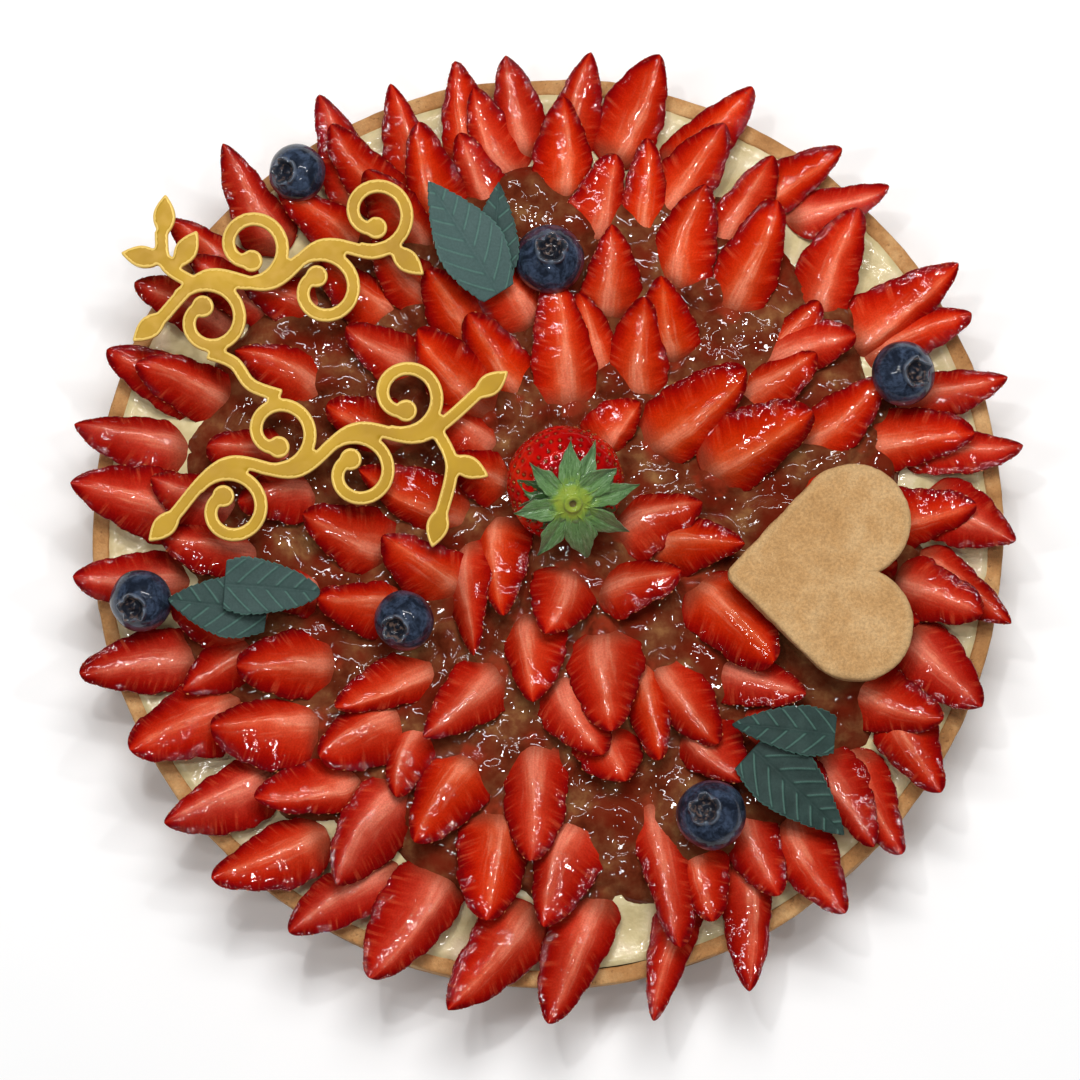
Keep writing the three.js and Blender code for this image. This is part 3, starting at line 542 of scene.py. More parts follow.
class Slice:
    """A quarter of a berry with its ridge up, its broad end at the origin and its tip along X."""

    def __init__(self, length, width, ring, draw):
        self.length = length
        self.depth = width / 2 / math.sin(WEDGE_HALF_ANGLE)
        self.bow = draw.uniform(*BOW)
        self.sag = draw.uniform(*SAG)
        self.wander = draw.uniform(*WANDER) * self.depth
        self.skew = math.radians(draw.uniform(*SKEW))
        self.phase = draw.uniform(0, 1)
        self.swell = draw.uniform(*SWELL)
        self.tip_power = draw.uniform(*TIP_POWERS.get(ring, INNER_TIP_POWERS))
        self.straightness = draw.uniform(*STRAIGHTNESS)
        self.lopsided = draw.uniform(*LOPSIDED)

    def outline(self, share, side=0):
        """Half width as a share of the greatest, from the broad end at 0 to the tip at 1."""
        towards_end = np.clip(1 - share / SLICE_WIDEST, 0, 1)
        towards_tip = np.clip((share - SLICE_WIDEST) / (1 - SLICE_WIDEST), 0, 1)
        body = 1 - (1 - SLICE_BROAD_END) * towards_end**2
        return body * (1 - towards_tip**self.straightness) ** (self.tip_power + side * self.lopsided)

    def uneven(self, share, side):
        """How much wider or narrower than its outline the slice is."""
        turns = 2 * math.pi * share
        wide = self.swell * np.sin(1.7 * turns + 6.3 * self.phase)
        fine = 0.028 * np.sin(3.9 * turns + 14 * self.phase + 2.4 * side)
        finer = 0.016 * np.sin(7.7 * turns + 31 * self.phase + 5.1 * side)
        return 1 + wide + fine + finer

    def surface(self, share, side, flesh, turn):
        """Points at a share of the length, on a side of the ridge (-1 or 1), flesh running from the ridge
        at 0 to the skin at 1, and turn running round the skin from the edge at 1 to the bottom at 0."""
        towards_end = 1 - np.clip(self.length * share / BROAD_END_ROUNDING, 0, 1)
        end = np.sqrt(1 - BROAD_END_NARROWING * towards_end**2)
        radius = self.depth * self.outline(share, side) * self.uneven(share, side) * end
        half = WEDGE_HALF_ANGLE + side * self.skew
        angle = half * turn
        pitted = smooth(flesh, 0.85, 1) * self.pits(self.length * share, radius * (half - angle))
        reach = radius * flesh - PIT_DEPTH * pitted * np.minimum(1, radius / 2)
        soft = RIDGE_SOFTNESS * np.minimum(1, 2 * radius / self.depth)
        weave = self.wander + RIDGE_WEAVE * np.sin(5 * share + 6 * self.phase)
        stray = weave * (1 - flesh) ** 1.3 * radius / self.depth
        arch = 4 * share * (1 - share)
        y = side * reach * np.sin(angle) + stray + self.bow * arch
        z = self.depth / 2 - np.hypot(reach * np.cos(angle), soft)
        wave = np.sin(0.9 * self.length * share - 0.45 * reach + 9 * self.phase + side)
        wave = wave * np.sin(0.35 * reach + side) * smooth(flesh, 0.1, 0.4) * smooth(1 - flesh, 0.0, 0.2)
        z = z + FACE_WAVE * wave - SLICE_BROAD_END_SINK * np.clip(1 - share / BROAD_END_BEND, 0, 1) ** 1.5
        z = z + self.sag * arch - self.depth * (TIP_DROP * share**6 + BROAD_END_DROP * (1 - end))
        return stacked(self.length * share, y, z)

    def pits(self, x, down):
        """1 in the middle of a seed's pit, 0 between pits."""
        pattern = np.cos(2 * math.pi * (x / SEED_PITCH + self.phase)) * np.cos(math.pi * down / SEED_ROW)
        deeper = 0.65 + 0.35 * np.sin(2.3 * x + 17 * self.phase) * np.sin(1.1 * down + 0.7 * x)
        return deeper * np.clip(pattern, 0, 1) ** 1.3

    def rings(self):
        """Rings of points, and what is painted on them: share along, flesh and skin; and the grain."""
        share = (1 - (1 - np.linspace(0, 0.9985, STATIONS)) ** 1.2)[:, None]
        faces, skins = len(FACE_SHARES), len(SKIN_TURNS)
        flesh = np.array([0, *FACE_SHARES, *[1] * (2 * skins + 3), *FACE_SHARES[::-1]])[None]
        turn = np.array([*[1] * (faces + 2), *SKIN_TURNS, 0, *SKIN_TURNS[::-1], *[1] * (faces + 1)])
        half_round = faces + 1 + skins
        side = np.array([0, *[-1] * half_round, 0, *[1] * half_round])[None]
        skin = np.where(turn < 1, 1, np.where(flesh[0] == 1, 0.5, 0))[None]
        grain = stacked(self.length * share, flesh * self.depth * self.outline(share), side)
        return self.surface(share, side, flesh, turn[None]), stacked(share, flesh, skin), grain

    def seeds(self, rows):
        """Seeds on the skin: centres, the way they point and the way out, in the slice's own frame."""
        found = []
        for row in range(rows):
            first = (row % 2) / 2 - self.phase
            x = SEED_PITCH * (first + np.arange(1, self.length / SEED_PITCH + 1))
            x = x[(x > 0.05 * self.length) & (x < 0.975 * self.length)]
            share = x / self.length
            for side in (-1, 1):
                half = WEDGE_HALF_ANGLE + side * self.skew
                radius = self.depth * self.outline(share, side)
                turn = 1 - (SEED_ROW * row + 0.25) / (radius * half)
                kept = turn > 0.12
                spots = self.surface(share[kept], side, 1, turn[kept])
                ahead = self.surface(share[kept] + 0.01, side, 1, turn[kept])
                angle = half * turn[kept]
                out = stacked(0.0, side * np.sin(angle), -np.cos(angle))
                found.append((spots, ahead - spots, out))
        return [np.vstack(part) for part in zip(*found)]


Laid = namedtuple("Laid", "shape ring place rolled azimuth tone")


def laid_slices():
    """Every slice where it lies on the tart."""
    draws = repeatable_draws()
    own = np.random.default_rng(11)
    for ring, (base_lift, tip_lift, slices) in enumerate(RINGS):
        for azimuth, reach, turn, length, width, *fixed_roll in slices:
            roll = ROLL_RANGE * (2 * next(draws) - 1)
            lift = LIFT_RANGE * (2 * next(draws) - 1)
            shape = Slice(length, width, ring, own)
            middle = CREAM_TOP + shape.depth / 2 + lift
            tip = heading_vector(azimuth) * reach + (0, 0, middle + tip_lift)
            broad_end = tip - heading_vector(azimuth + turn) * length
            broad_end[2] = middle + base_lift
            place = along(on_tart(broad_end), tip - broad_end, fixed_roll[0] if fixed_roll else roll)
            yield Laid(shape, ring, place, bool(fixed_roll), azimuth, own.uniform(0, 1))


def coolness_and_light(azimuth):
    """From 0 where the photo's slices are orange, near the top, to about 0.8 where they are crimson."""
    # The same value also sets painted light on the slices: brighter near the top of the tart, darker at its
    # left and right.
    turn = math.radians(azimuth)
    return 0.5 - 0.25 * math.cos(2 * turn - math.radians(140)) - 0.25 * math.cos(turn - math.radians(60))


def make_slices():
    paint = flesh_paint()
    heaps = {name: Heap() for name in PIECE_RINGS}
    heap_of_ring = {ring: heaps[name] for name, rings in PIECE_RINGS.items() for ring in rings}
    seeds = Heap()
    for shape, ring, place, rolled, azimuth, tone in laid_slices():
        rings, painted, grain = shape.rings()
        points, faces = skinned(rings)
        heap_of_ring[ring].add(
            place(points), faces, place=painted, grain=grain + (0, 0, 40 * tone),
            mood=(tone, OUTERNESS.get(ring, 0.1), coolness_and_light(azimuth)),
        )
        rows = ROLLED_SEED_ROWS if rolled else SEED_ROWS.get(ring, 1)
        add_seeds(seeds, place, shape.seeds(rows), SEED_STANDS_OUT, SLICE_SEED)
    for name, heap in heaps.items():
        heap.piece(f"slices_{name}", paint, "strawberry", "strawberry_slices")
    colours = (104, 28, 14), (160, 70, 36), (206, 130, 76)
    material = seed_paint("strawberry_seeds", 2.5, colours, roughness=0.4, relief=0.05, coat_roughness=0.04)
    seeds.piece("slice_seeds", material, "strawberry", "strawberry_slices")


def flesh_paint():
    p = Paint("cut_strawberry")
    share, flesh, skin, _ = p.painted("place")
    along_mm, across_mm, side, grain = p.painted("grain")
    tone, outer, cool_and_lit, _ = p.painted("mood")
    # The colour runs from the pale core to the skin, unevenly, and is darker towards the tip.
    depth = p.math("MULTIPLY_ADD", p.math("SUBTRACT", p.noise(5.0, 3, at=grain), 0.5), 0.32, flesh)
    depth = p.math("ADD", depth, p.between(share, 0.1, 0.7, -0.14, 0.06))
    depth = p.math("ADD", depth, p.between(share, 0.8, 1.0, 0, 0.42))
    depth = p.math("MULTIPLY_ADD", tone, -0.14, p.math("ADD", depth, 0.07))
    bright = p.ramp(
        depth, (0, (226, 118, 84)), (0.12, (214, 86, 46)), (0.3, (202, 54, 14)), (0.56, (190, 34, 4)),
        (0.78, (160, 15, 4)), (0.92, (136, 6, 5)), (1, (112, 4, 7)),
    )
    crimson = p.ramp(
        depth, (0, (214, 112, 90)), (0.12, (196, 80, 60)), (0.32, (174, 44, 30)), (0.58, (156, 22, 12)),
        (0.78, (134, 10, 8)), (0.92, (116, 6, 9)), (1, (98, 5, 11)),
    )
    cooler = p.math("MULTIPLY_ADD", outer, 0.3, p.times(cool_and_lit, 0.42))
    cooler = p.math("MULTIPLY_ADD", tone, 0.45, cooler)
    colour = p.mix(p.between(cooler, 0.1, 1.0), bright, crimson)
    # Rays run from the core out to the skin, leaning towards the tip, and streaks run along the core.
    lean = p.math("MULTIPLY_ADD", across_mm, -0.4, along_mm)
    rays = p.noise(1.3, 3, 0.6, at=p.vector(lean, p.times(across_mm, 0.13), side))
    ray_place = p.times(p.between(flesh, 0.3, 0.7), p.between(flesh, 1.0, 0.9))
    colour = p.tinted(colour, p.times(p.between(rays, 0.5, 0.72, 0, 0.3), ray_place), 218, 92, 56)
    colour = p.tinted(colour, p.times(p.between(rays, 0.52, 0.3, 0, 0.4), ray_place), 140, 10, 4)
    streaks = p.noise(1.1, 2, at=p.vector(p.times(along_mm, 0.14), across_mm, side))
    core = p.times(p.between(flesh, 0.5, 0.05), p.between(share, 0.95, 0.4, 0.2, 1))
    colour = p.tinted(colour, p.times(p.between(streaks, 0.48, 0.75, 0, 0.4), core), 234, 152, 118)
    colour = p.tinted(colour, p.times(p.between(streaks, 0.48, 0.3, 0, 0.35), core), 188, 56, 30)
    broad_end = p.times(p.between(share, 0.24, 0.06, 0, 0.75), p.between(flesh, 1.0, 0.6))
    colour = p.tinted(colour, broad_end, 140, 66, 44)
    # Brightness: uneven at random, a little lower towards the middle, and painted light that is brighter near
    # the top of the tart and darker at its left and right.
    shade = p.between(p.noise(23.0, 1), 0.35, 0.65, 0.84, 1.04)
    shade = p.times(shade, p.between(outer, 0, 0.9, 0.96, 1.04))
    shade = p.times(shade, p.between(cool_and_lit, 0, 0.8, 1.08, 0.97))
    colour = p.speckled(p.shaded(colour, shade), p.noise(0.5, 2), 0.88, 1.1)
    skin_colour = p.mottled(p.noise(5.0, 3), (134, 6, 10), (162, 12, 14), (184, 24, 18))
    colour = p.mix(p.between(skin, 0.35, 0.8), colour, skin_colour)
    # The glaze is rippled, and wrinkled at the edges.
    wrinkles = p.times(p.noise(1.9, 1, distortion=1.2), p.between(flesh, 0.75, 1.0, 0.35, 1.0))
    ripples = p.math("MULTIPLY_ADD", p.noise(5.5, 0, distortion=0.4), 2.4, wrinkles)
    glaze = p.times(ripples, p.between(flesh, 0.6, 0.95, 0.6, 1.2))
    return p.finish(colour, 0.4, (p.math("ADD", rays, p.noise(0.8, 3)), 0.12), (glaze, 0.4),
                    Specular_IOR_Level=0.0, Coat_Roughness=0.02, Coat_IOR=1.37)


def seed_paint(name, size, colours, roughness, relief, coat_roughness):
    p = Paint(name)
    return p.finish(p.mottled(p.noise(size), *colours), roughness, (p.noise(0.3), relief),
                    Coat_Weight=1.0, Coat_Roughness=coat_roughness)


# ---- Bed of jelly and cream ----
BED_SIDES = 420
CREAM_TUCK = 0.25  # the cream's edge goes this far into the uneven pastry
CREAM_STEP = 2.6
CREAM_RISE = 4.6  # how much higher it is in the middle than at the rim
JELLY_STEP = 1.3
JELLY_RADIUS = 113
JELLY_TOP = 28.7
JELLY_DIP = 4.5  # how deep its bare places are
JELLY_EDGE_DROP = 4
LUMP_SPACING = 8.5
LUMP_HEIGHT = 2.6
GOB_REACH = 92  # jelly laps over the broad ends within this distance of the middle
GOB_PLACE = 0.06  # where its middle lies, as a share of the slice's length
GOB_ABOVE = (-0.5, 0.9)  # lowest and highest over the slice's ridge
GOB_FALL = (0.11, 0.2)  # how fast it falls off, for each millimetre squared


def lumps(x, y):
    """Height of a layer of rounded lumps, 0 between them and about 1 on top."""
    draw = np.random.default_rng(5)
    height = np.zeros_like(x)
    steps = np.arange(-JELLY_RADIUS, JELLY_RADIUS, LUMP_SPACING)
    for cx in steps:
        for cy in steps:
            dx, dy = draw.uniform(-3, 3, 2)
            radius, tall = draw.uniform(4.2, 7.2), draw.uniform(0.5, 1)
            stretch, lean = draw.uniform(0.75, 1.3), draw.uniform(0, math.pi)
            ox, oy = x - cx - dx, y - cy - dy
            u = (ox * math.cos(lean) + oy * math.sin(lean)) * stretch
            v = (oy * math.cos(lean) - ox * math.sin(lean)) / stretch
            dome = 1 - (u * u + v * v) / radius**2
            height = np.maximum(height, tall * np.sqrt(np.clip(dome, 0, 1)))
    return height


def cream_height(x, y):
    spots = stacked(x, y, 0.0)
    away = np.hypot(x, y)
    rise = CREAM_RISE * smooth(away, 117, 96) + 0.7 * ripple(spots, 17, 21) * smooth(away, 119, 108)
    meniscus = smooth(away, 116, 120.4)
    return CREAM_TOP + rise + meniscus + 0.12 * ripple(spots, 4, 22)


def gob_height(x, y):
    """Height of the jelly that laps over the slices' broad ends."""
    draw = np.random.default_rng(36)
    spots = stacked(x, y, 0.0)
    x, y = x + 1.3 * ripple(spots, 8, 34), y + 1.3 * ripple(spots, 8, 35)
    height = np.zeros_like(x)
    for laid in laid_slices():
        above, fall = draw.uniform(*GOB_ABOVE), draw.uniform(*GOB_FALL)
        middle = laid.place(laid.shape.surface(np.array([GOB_PLACE]), 0, 0, 1))[0]
        if math.hypot(*middle[:2]) < GOB_REACH:
            away = (x - middle[0]) ** 2 + (y - middle[1]) ** 2
            height = np.maximum(height, middle[2] + above - fall * away)
    return height


def jelly_height(x, y):
    spots = stacked(x, y, 0.0)
    away = np.hypot(x, y - FRUIT_OFFSET_Y) + 4 * ripple(spots, 26, 31)
    base = CREAM_TOP + (JELLY_TOP - CREAM_TOP) * smooth(away, 114, 92)
    bare = smooth(ripple(spots, 24, 32), 0.35, 0.8) * smooth(away, 84, 98)
    rim = smooth(away, 98, 108)
    bed = base + LUMP_HEIGHT * lumps(x, y) * (1 - rim) - JELLY_DIP * bare - 1.0 - JELLY_EDGE_DROP * rim
    return np.maximum(bed, gob_height(x, y)) + 0.09 * ripple(spots, 4, 33)


def bed_rings(radius, bottom, height, step):
    """A round layer: flat below, and above it the height at each place."""
    inwards = np.linspace(radius, 0.05, int(radius / step))
    under = [(0.05, bottom), (radius * 0.5, bottom), (radius, bottom)]
    rings = turned([*under, *[(r, 0) for r in inwards]], BED_SIDES)
    top = rings[len(under):]
    top[..., 2] = np.maximum(height(top[..., 0], top[..., 1]), bottom + 0.2)
    return rings


def make_bed():
    cream_radius = CASE_RADIUS - CASE_WALL + CREAM_TUCK
    rings = bed_rings(cream_radius, CASE_BASE + GAP, cream_height, CREAM_STEP)
    whole_piece(*skinned(rings), "cream_filling", cream_paint(), "cream", "cream")
    rings = bed_rings(JELLY_RADIUS, CREAM_TOP - 1, jelly_height, JELLY_STEP)
    over_fruit = smooth(gob_height(rings[..., 0], rings[..., 1]) - rings[..., 2], -1.2, -0.1)
    whole_piece(*skinned(rings), "jelly_bed", jelly_paint(), "strawberry", "strawberry_slices",
                place=over_fruit[..., None])


def cream_paint():
    p = Paint("glazed_cream")
    colour = p.mottled(p.noise(7.0, 4), (194, 176, 126), (214, 198, 150), (228, 214, 174))
    colour = p.tinted(colour, p.between(p.noise(14.0), 0.55, 0.75, 0, 0.35), 190, 146, 124)
    glaze = p.noise(3.0, distortion=0.5)
    return p.finish(colour, 0.45, (p.noise(1.2, 3), 0.15), (glaze, 0.5), Coat_Roughness=0.05)


def jelly_paint():
    p = Paint("strawberry_jelly")
    over_fruit = p.painted("place")[0]
    colour = p.ramp(p.noise(8.0, 4, 0.6), (0.25, (66, 20, 8)), (0.42, (94, 38, 20)), (0.56, (110, 60, 36)),
                    (0.75, (146, 102, 62)))
    colour = p.tinted(colour, p.between(p.noise(14.0), 0.47, 0.66, 0, 0.75), 104, 24, 10)
    shows = p.times(over_fruit, p.between(p.noise(4.0), 0.3, 0.6, 0.2, 0.8))
    colour = p.tinted(colour, shows, 140, 46, 26)
    glaze = p.noise(5.0, 1, distortion=0.9)
    return p.finish(colour, 0.3, (p.noise(2.0, 3), 0.2), (glaze, 0.42),
                    Specular_IOR_Level=0.0, Coat_Roughness=0.02, Coat_IOR=1.38)


# ---- Pastry case ----
CASE_SIDES = 320
CASE_EDGE = 0.9  # how rounded its rim is


def make_case():
    inner = CASE_RADIUS - CASE_WALL
    profile = [(0.05, 0), (60, 0), (CASE_RADIUS - 0.8, 0), (CASE_RADIUS - 0.2, 0.3), (CASE_RADIUS, 1)]
    profile += [(CASE_RADIUS, z) for z in np.arange(2, CASE_HEIGHT - CASE_EDGE, 0.8)]

    def rounded(radius, start, end):
        for turn in np.linspace(start, end, 5):
            below = CASE_EDGE * (1 - math.sin(turn))
            profile.append((radius + CASE_EDGE * math.cos(turn), CASE_HEIGHT - below))

    rounded(CASE_RADIUS - CASE_EDGE, 0, math.pi / 2)
    profile += [(r, CASE_HEIGHT) for r in np.linspace(CASE_RADIUS - CASE_EDGE, inner + CASE_EDGE, 6)[1:-1]]
    rounded(inner + CASE_EDGE, math.pi / 2, math.pi)
    profile += [(inner, CREAM_TOP - 3), (inner, CASE_BASE), (60, CASE_BASE), (0.05, CASE_BASE)]
    rings = turned(profile, CASE_SIDES)
    points = rings.reshape(-1, 3)
    outwards = unit(points * (1, 1, 0) + (1e-6, 0, 0))
    above_floor = smooth(points[:, 2], 0.5, 3)
    in_wall = np.hypot(*points.T[:2]) > inner - 1
    uneven = 0.35 * ripple(points, 38, 41) + 0.1 * ripple(points, 6, 42) + 0.05 * ripple(points, 2.2, 43)
    points += outwards * (uneven * above_floor * in_wall)[:, None]
    waves = 0.3 * ripple(points, 45, 44) + 0.1 * ripple(points, 5, 45)
    points[:, 2] += waves * smooth(points[:, 2], 12, 21)
    whole_piece(*skinned(rings), "pastry_case", pastry_paint(), "crust", "crust")


def pastry_paint():
    p = Paint("baked_pastry")
    height = p.node("ShaderNodeSeparateXYZ", {0: p.where}).outputs[2]
    colour = p.mottled(p.noise(11.0, 5, 0.6), (146, 98, 52), (180, 131, 79), (210, 168, 114))
    colour = p.tinted(colour, p.between(p.noise(30.0), 0.5, 0.75, 0, 0.5), 152, 102, 54)
    colour = p.tinted(colour, p.between(height, 20, 8, 0, 0.35), 176, 128, 76)
    colour = p.tinted(colour, p.between(p.noise(1.6, 3, 0.7), 0.6, 0.72, 0, 0.6), 96, 58, 26)
    grain = p.noise(0.7, 4, 0.65)
    return p.finish(p.speckled(colour, grain, 0.9, 1.07), 0.7, (grain, 0.25), Specular_IOR_Level=0.35)


# ---- Whole strawberry ----
BERRY_SIDES = 150
BERRY_SWELL = 0.35
BERRY_PIT_DEPTH = 0.5
BERRY_PIT_RADIUS = 0.95
BERRY_SEED_GAP = 3.1
BERRY_SEED = (0.66, 0.4, 0.34)  # half the length, width and height of a seed
BERRY_SEED_SINK = 0.3


def berry_place():
    up = Vector(BERRY_LEAN).normalized()
    turn = Vector((0, 0, 1)).rotation_difference(up).to_matrix()
    return Place(on_tart(BERRY_CENTRE), turn)


def berry_profile():
    radius, height = curve_through([(0.02, -1), *BERRY_OUTLINE, (0.02, 1)], 14).T
    height = height * np.where(height > 0, BERRY_CROWN, BERRY_TAIL)
    return np.column_stack([np.clip(radius, 0.003, 1) * BERRY_RADIUS, height])


def berry_seeds(profile):
    """Seeds in staggered rows up the berry: where they are, their upward way and their outward way."""
    steps = np.linalg.norm(np.diff(profile, axis=0), axis=1)
    run = np.concatenate([[0], np.cumsum(steps)])
    draw = np.random.default_rng(3)

    def on_profile(level):
        return np.array([np.interp(level, run, column) for column in profile.T])

    found = []
    for row, level in enumerate(np.arange(8, run[-1] - 5, BERRY_SEED_GAP * 0.8)):
        radius, height = on_profile(level)
        widens, rises = unit(on_profile(level + 0.2) - (radius, height))
        count = max(3, round(2 * math.pi * radius / BERRY_SEED_GAP))
        for k in range(count):
            angle = 2 * math.pi * (k + (row % 2) / 2 + draw.uniform(-0.24, 0.24)) / count
            cos, sin = math.cos(angle), math.sin(angle)
            spot = (radius * cos, radius * sin, height + draw.uniform(-0.5, 0.5))
            found.append((spot, (widens * cos, widens * sin, rises), (rises * cos, rises * sin, -widens)))
    return np.array(found).transpose(1, 0, 2)


def make_berry():
    place = berry_place()
    profile = berry_profile()
    found = berry_seeds(profile)
    points, faces = skinned(turned(profile, BERRY_SIDES))
    nearest = np.full(len(points), 9.0)
    for spot in found[0]:
        nearest = np.minimum(nearest, np.linalg.norm(points - spot, axis=1))
    pit = np.exp(-((nearest / BERRY_PIT_RADIUS) ** 2))
    relief = BERRY_SWELL * ripple(points, 15, 51) - BERRY_PIT_DEPTH * pit
    points = place(points + unit(points) * relief[:, None])
    whole_piece(points, faces, "whole_berry", berry_paint(), "strawberry", "whole_strawberry",
                place=pit[:, None])
    seeds = Heap()
    add_seeds(seeds, place, found, -BERRY_SEED_SINK, BERRY_SEED)
    colours = (96, 30, 8), (136, 64, 18), (172, 108, 40)
    material = seed_paint("berry_seed_skin", 4.0, colours, roughness=0.35, relief=0.04, coat_roughness=0.05)
    seeds.piece("berry_seeds", material, "strawberry", "whole_strawberry")


def berry_paint():
    p = Paint("strawberry_skin")
    pit = p.painted("place")[0]
    colour = p.mottled(p.noise(9.0, 3), (142, 6, 8), (176, 12, 10), (204, 36, 14))
    # Painted shade: the skin is darker in the pits round the seeds.
    colour = p.tinted(colour, p.between(pit, 0.2, 0.9, 0, 0.8), 96, 4, 6)
    glaze = p.noise(2.6, distortion=0.5)
    return p.finish(colour, 0.3, (p.noise(0.7), 0.06), (glaze, 0.3),
                    Specular_IOR_Level=0.0, Coat_Roughness=0.03)


# ---- Leaves and sepals ----
def blade(last, stations, over, under, thickness, half_width, height):
    """A thin wavy solid along X, with rings from 0 to the last share of its length, and so many points across
    its upper and its lower face. It comes as shares, sides from -1 to 1, half widths, heights, and 1 on the
    upper face. Half width and height take shares and sides, and height gives how far both faces are lifted
    and the upper face's relief."""
    share = np.linspace(0, last, stations)[:, None]
    side = np.concatenate([np.linspace(-1, 1, under), np.linspace(1, -1, over)])[None]
    top = np.repeat([0.0, 1.0], [under, over])[None]
    lift, relief = height(share, side)
    z = lift + np.where(top > 0, thickness / 2 + relief, -thickness / 2)
    return share, side, half_width(share, side), z, top


LEAF_BLADE = (0.997, 104, 57, 9, LEAF_THICKNESS)  # as blade takes it
LEAF_ARCH = 2
LEAF_CUP = 0.16  # how steeply it rises from the middle to its sides
LEAF_WAVE = 0.3  # height of the waves at its sides
VEIN_PITCH = 5.2
VEIN_SLANT = 0.8
VEIN_HEIGHT = 0.3
VEIN_WIDTH = 0.42
MIDRIB_DEPTH = 0.14
MIDRIB_WIDTH = 0.5
LEAF_EDGE_DROP = 0.2
TOOTH_PITCH = 1.9
TOOTH_DEPTH = 0.6
# For each leaf: its widest place and the width of its broad end, both as shares, how blunt its tip is
# (lower is blunter), and how pale it is.
LEAF_SHAPES = [(0.42, 0.5, 0.9, 1), (0.35, 0.6, 0.9, 0.45), (0.4, 0.6, 0.8, 0.4), (0.22, 0.82, 0.55, 0.5),
               (0.28, 0.75, 0.75, 0.12), (0.32, 0.78, 0.85, 0)]


def make_leaf(paint, number, at, heading, length, width, pitch, roll):
    draw = np.random.default_rng(60 + number)
    phase = draw.uniform(0, VEIN_PITCH)
    curl = draw.uniform(-0.6, 0.6)
    widest, broad_end, tip_power, pale = LEAF_SHAPES[number - 1]

    def half_width(share, side):
        towards_stem = np.clip(1 - share / widest, 0, 1)
        towards_tip = np.clip((share - widest) / (1 - widest), 0, 1)
        outline = (1 - (1 - broad_end) * towards_stem**2) * (1 - towards_tip**1.4) ** tip_power
        run = length * share / TOOTH_PITCH + 0.3 * np.sin(5 * share + phase) + 0.25 * np.sign(side)
        tooth = (run % 1) ** 1.5 * (0.7 + 0.3 * np.sin(2.4 * run + phase))
        return width / 2 * outline - TOOTH_DEPTH * tooth * np.minimum(1, 3 * outline) * np.abs(side)

    def vein(share, side):
        y = side * half_width(share, side)
        offset = phase + VEIN_PITCH / 2 * (side > 0)
        run = length * share - VEIN_SLANT * np.abs(y) - 0.03 * y * y + offset
        away = np.abs((run / VEIN_PITCH + 0.5) % 1 - 0.5) * VEIN_PITCH
        shown = smooth(np.abs(side), 0.03, 0.14) * smooth(1 - np.abs(side), 0.02, 0.12)
        return np.exp(-((away / VEIN_WIDTH) ** 2)) * shown

    def height(share, side):
        y = side * half_width(share, side)
        lift = LEAF_ARCH * np.sin(math.pi * share) + curl * np.sin(2 * math.pi * share) + LEAF_CUP * np.abs(y)
        lift = lift + LEAF_WAVE * np.sin(7 * share + phase + 2 * side) * side**2
        relief = VEIN_HEIGHT * vein(share, side) - MIDRIB_DEPTH * np.exp(-((y / MIDRIB_WIDTH) ** 2))
        return lift, relief - LEAF_EDGE_DROP * smooth(np.abs(side), 0.9, 1)

    share, side, half, z, top = blade(*LEAF_BLADE, half_width, height)
    points, faces = skinned(stacked(length * share, side * half, z))
    place = along(on_tart(at), heading_vector(heading, pitch), roll)
    whole_piece(place(points), faces, f"leaf_{number}", paint, "fondant", f"fondant_leaf_{number}",
                place=stacked(vein(share, side) * top, np.abs(side), pale))


def leaf_paint():
    p = Paint("green_fondant")
    vein, side, pale, _ = p.painted("place")
    colour = p.mottled(p.noise(6.0, 3), (32, 50, 46), (38, 58, 54), (45, 66, 61))
    colour = p.tinted(colour, p.between(pale, 0, 1), 64, 87, 84)
    lines = p.math("MAXIMUM", p.between(vein, 0.15, 0.95, 0, 0.5), p.between(side, 0.94, 1, 0, 0.5))
    colour = p.speckled(p.tinted(colour, lines, 84, 124, 111), p.noise(0.6), 0.92, 1.08)
    return p.finish(colour, 0.6, (p.noise(0.5, 3), 0.08), Specular_IOR_Level=0.35)


def make_leaves():
    paint = leaf_paint()
    for number, leaf in enumerate(LEAVES, 1):
        make_leaf(paint, number, *leaf)


STALK_RADIUS = 2.6
STALK_HEIGHT = 3.4
CALYX_CORE = [  # the low hub, and the stub of stalk with a hollow end
    (0.02, 0.1), (6, 0.1), (6.2, 0.9), (5, 1.7), (3.6, 2.1), (STALK_RADIUS, 2.6),
    (STALK_RADIUS - 0.2, STALK_HEIGHT - 0.2), (STALK_RADIUS - 0.6, STALK_HEIGHT), (1.3, STALK_HEIGHT - 0.2),
    (0.8, STALK_HEIGHT - 0.8), (0.02, STALK_HEIGHT - 1),
]
SEPAL_BLADE = (0.99, 40, 19, 7, 0.7)  # as blade takes it
SEPAL_ROOT = 2.2
SEPAL_DROOP = 0.014  # for each millimetre squared
SEPAL_CURL = (-0.8, 2.2)  # lowest and highest rise of the tip
UNDER_SEPALS = (25, 170, 195, 222, 345)  # their azimuths
UNDER_SEPAL = (14.5, 8, 0.03, -0.6)  # length, width, droop and curl
UNDER_SEPAL_DROP = 0.9


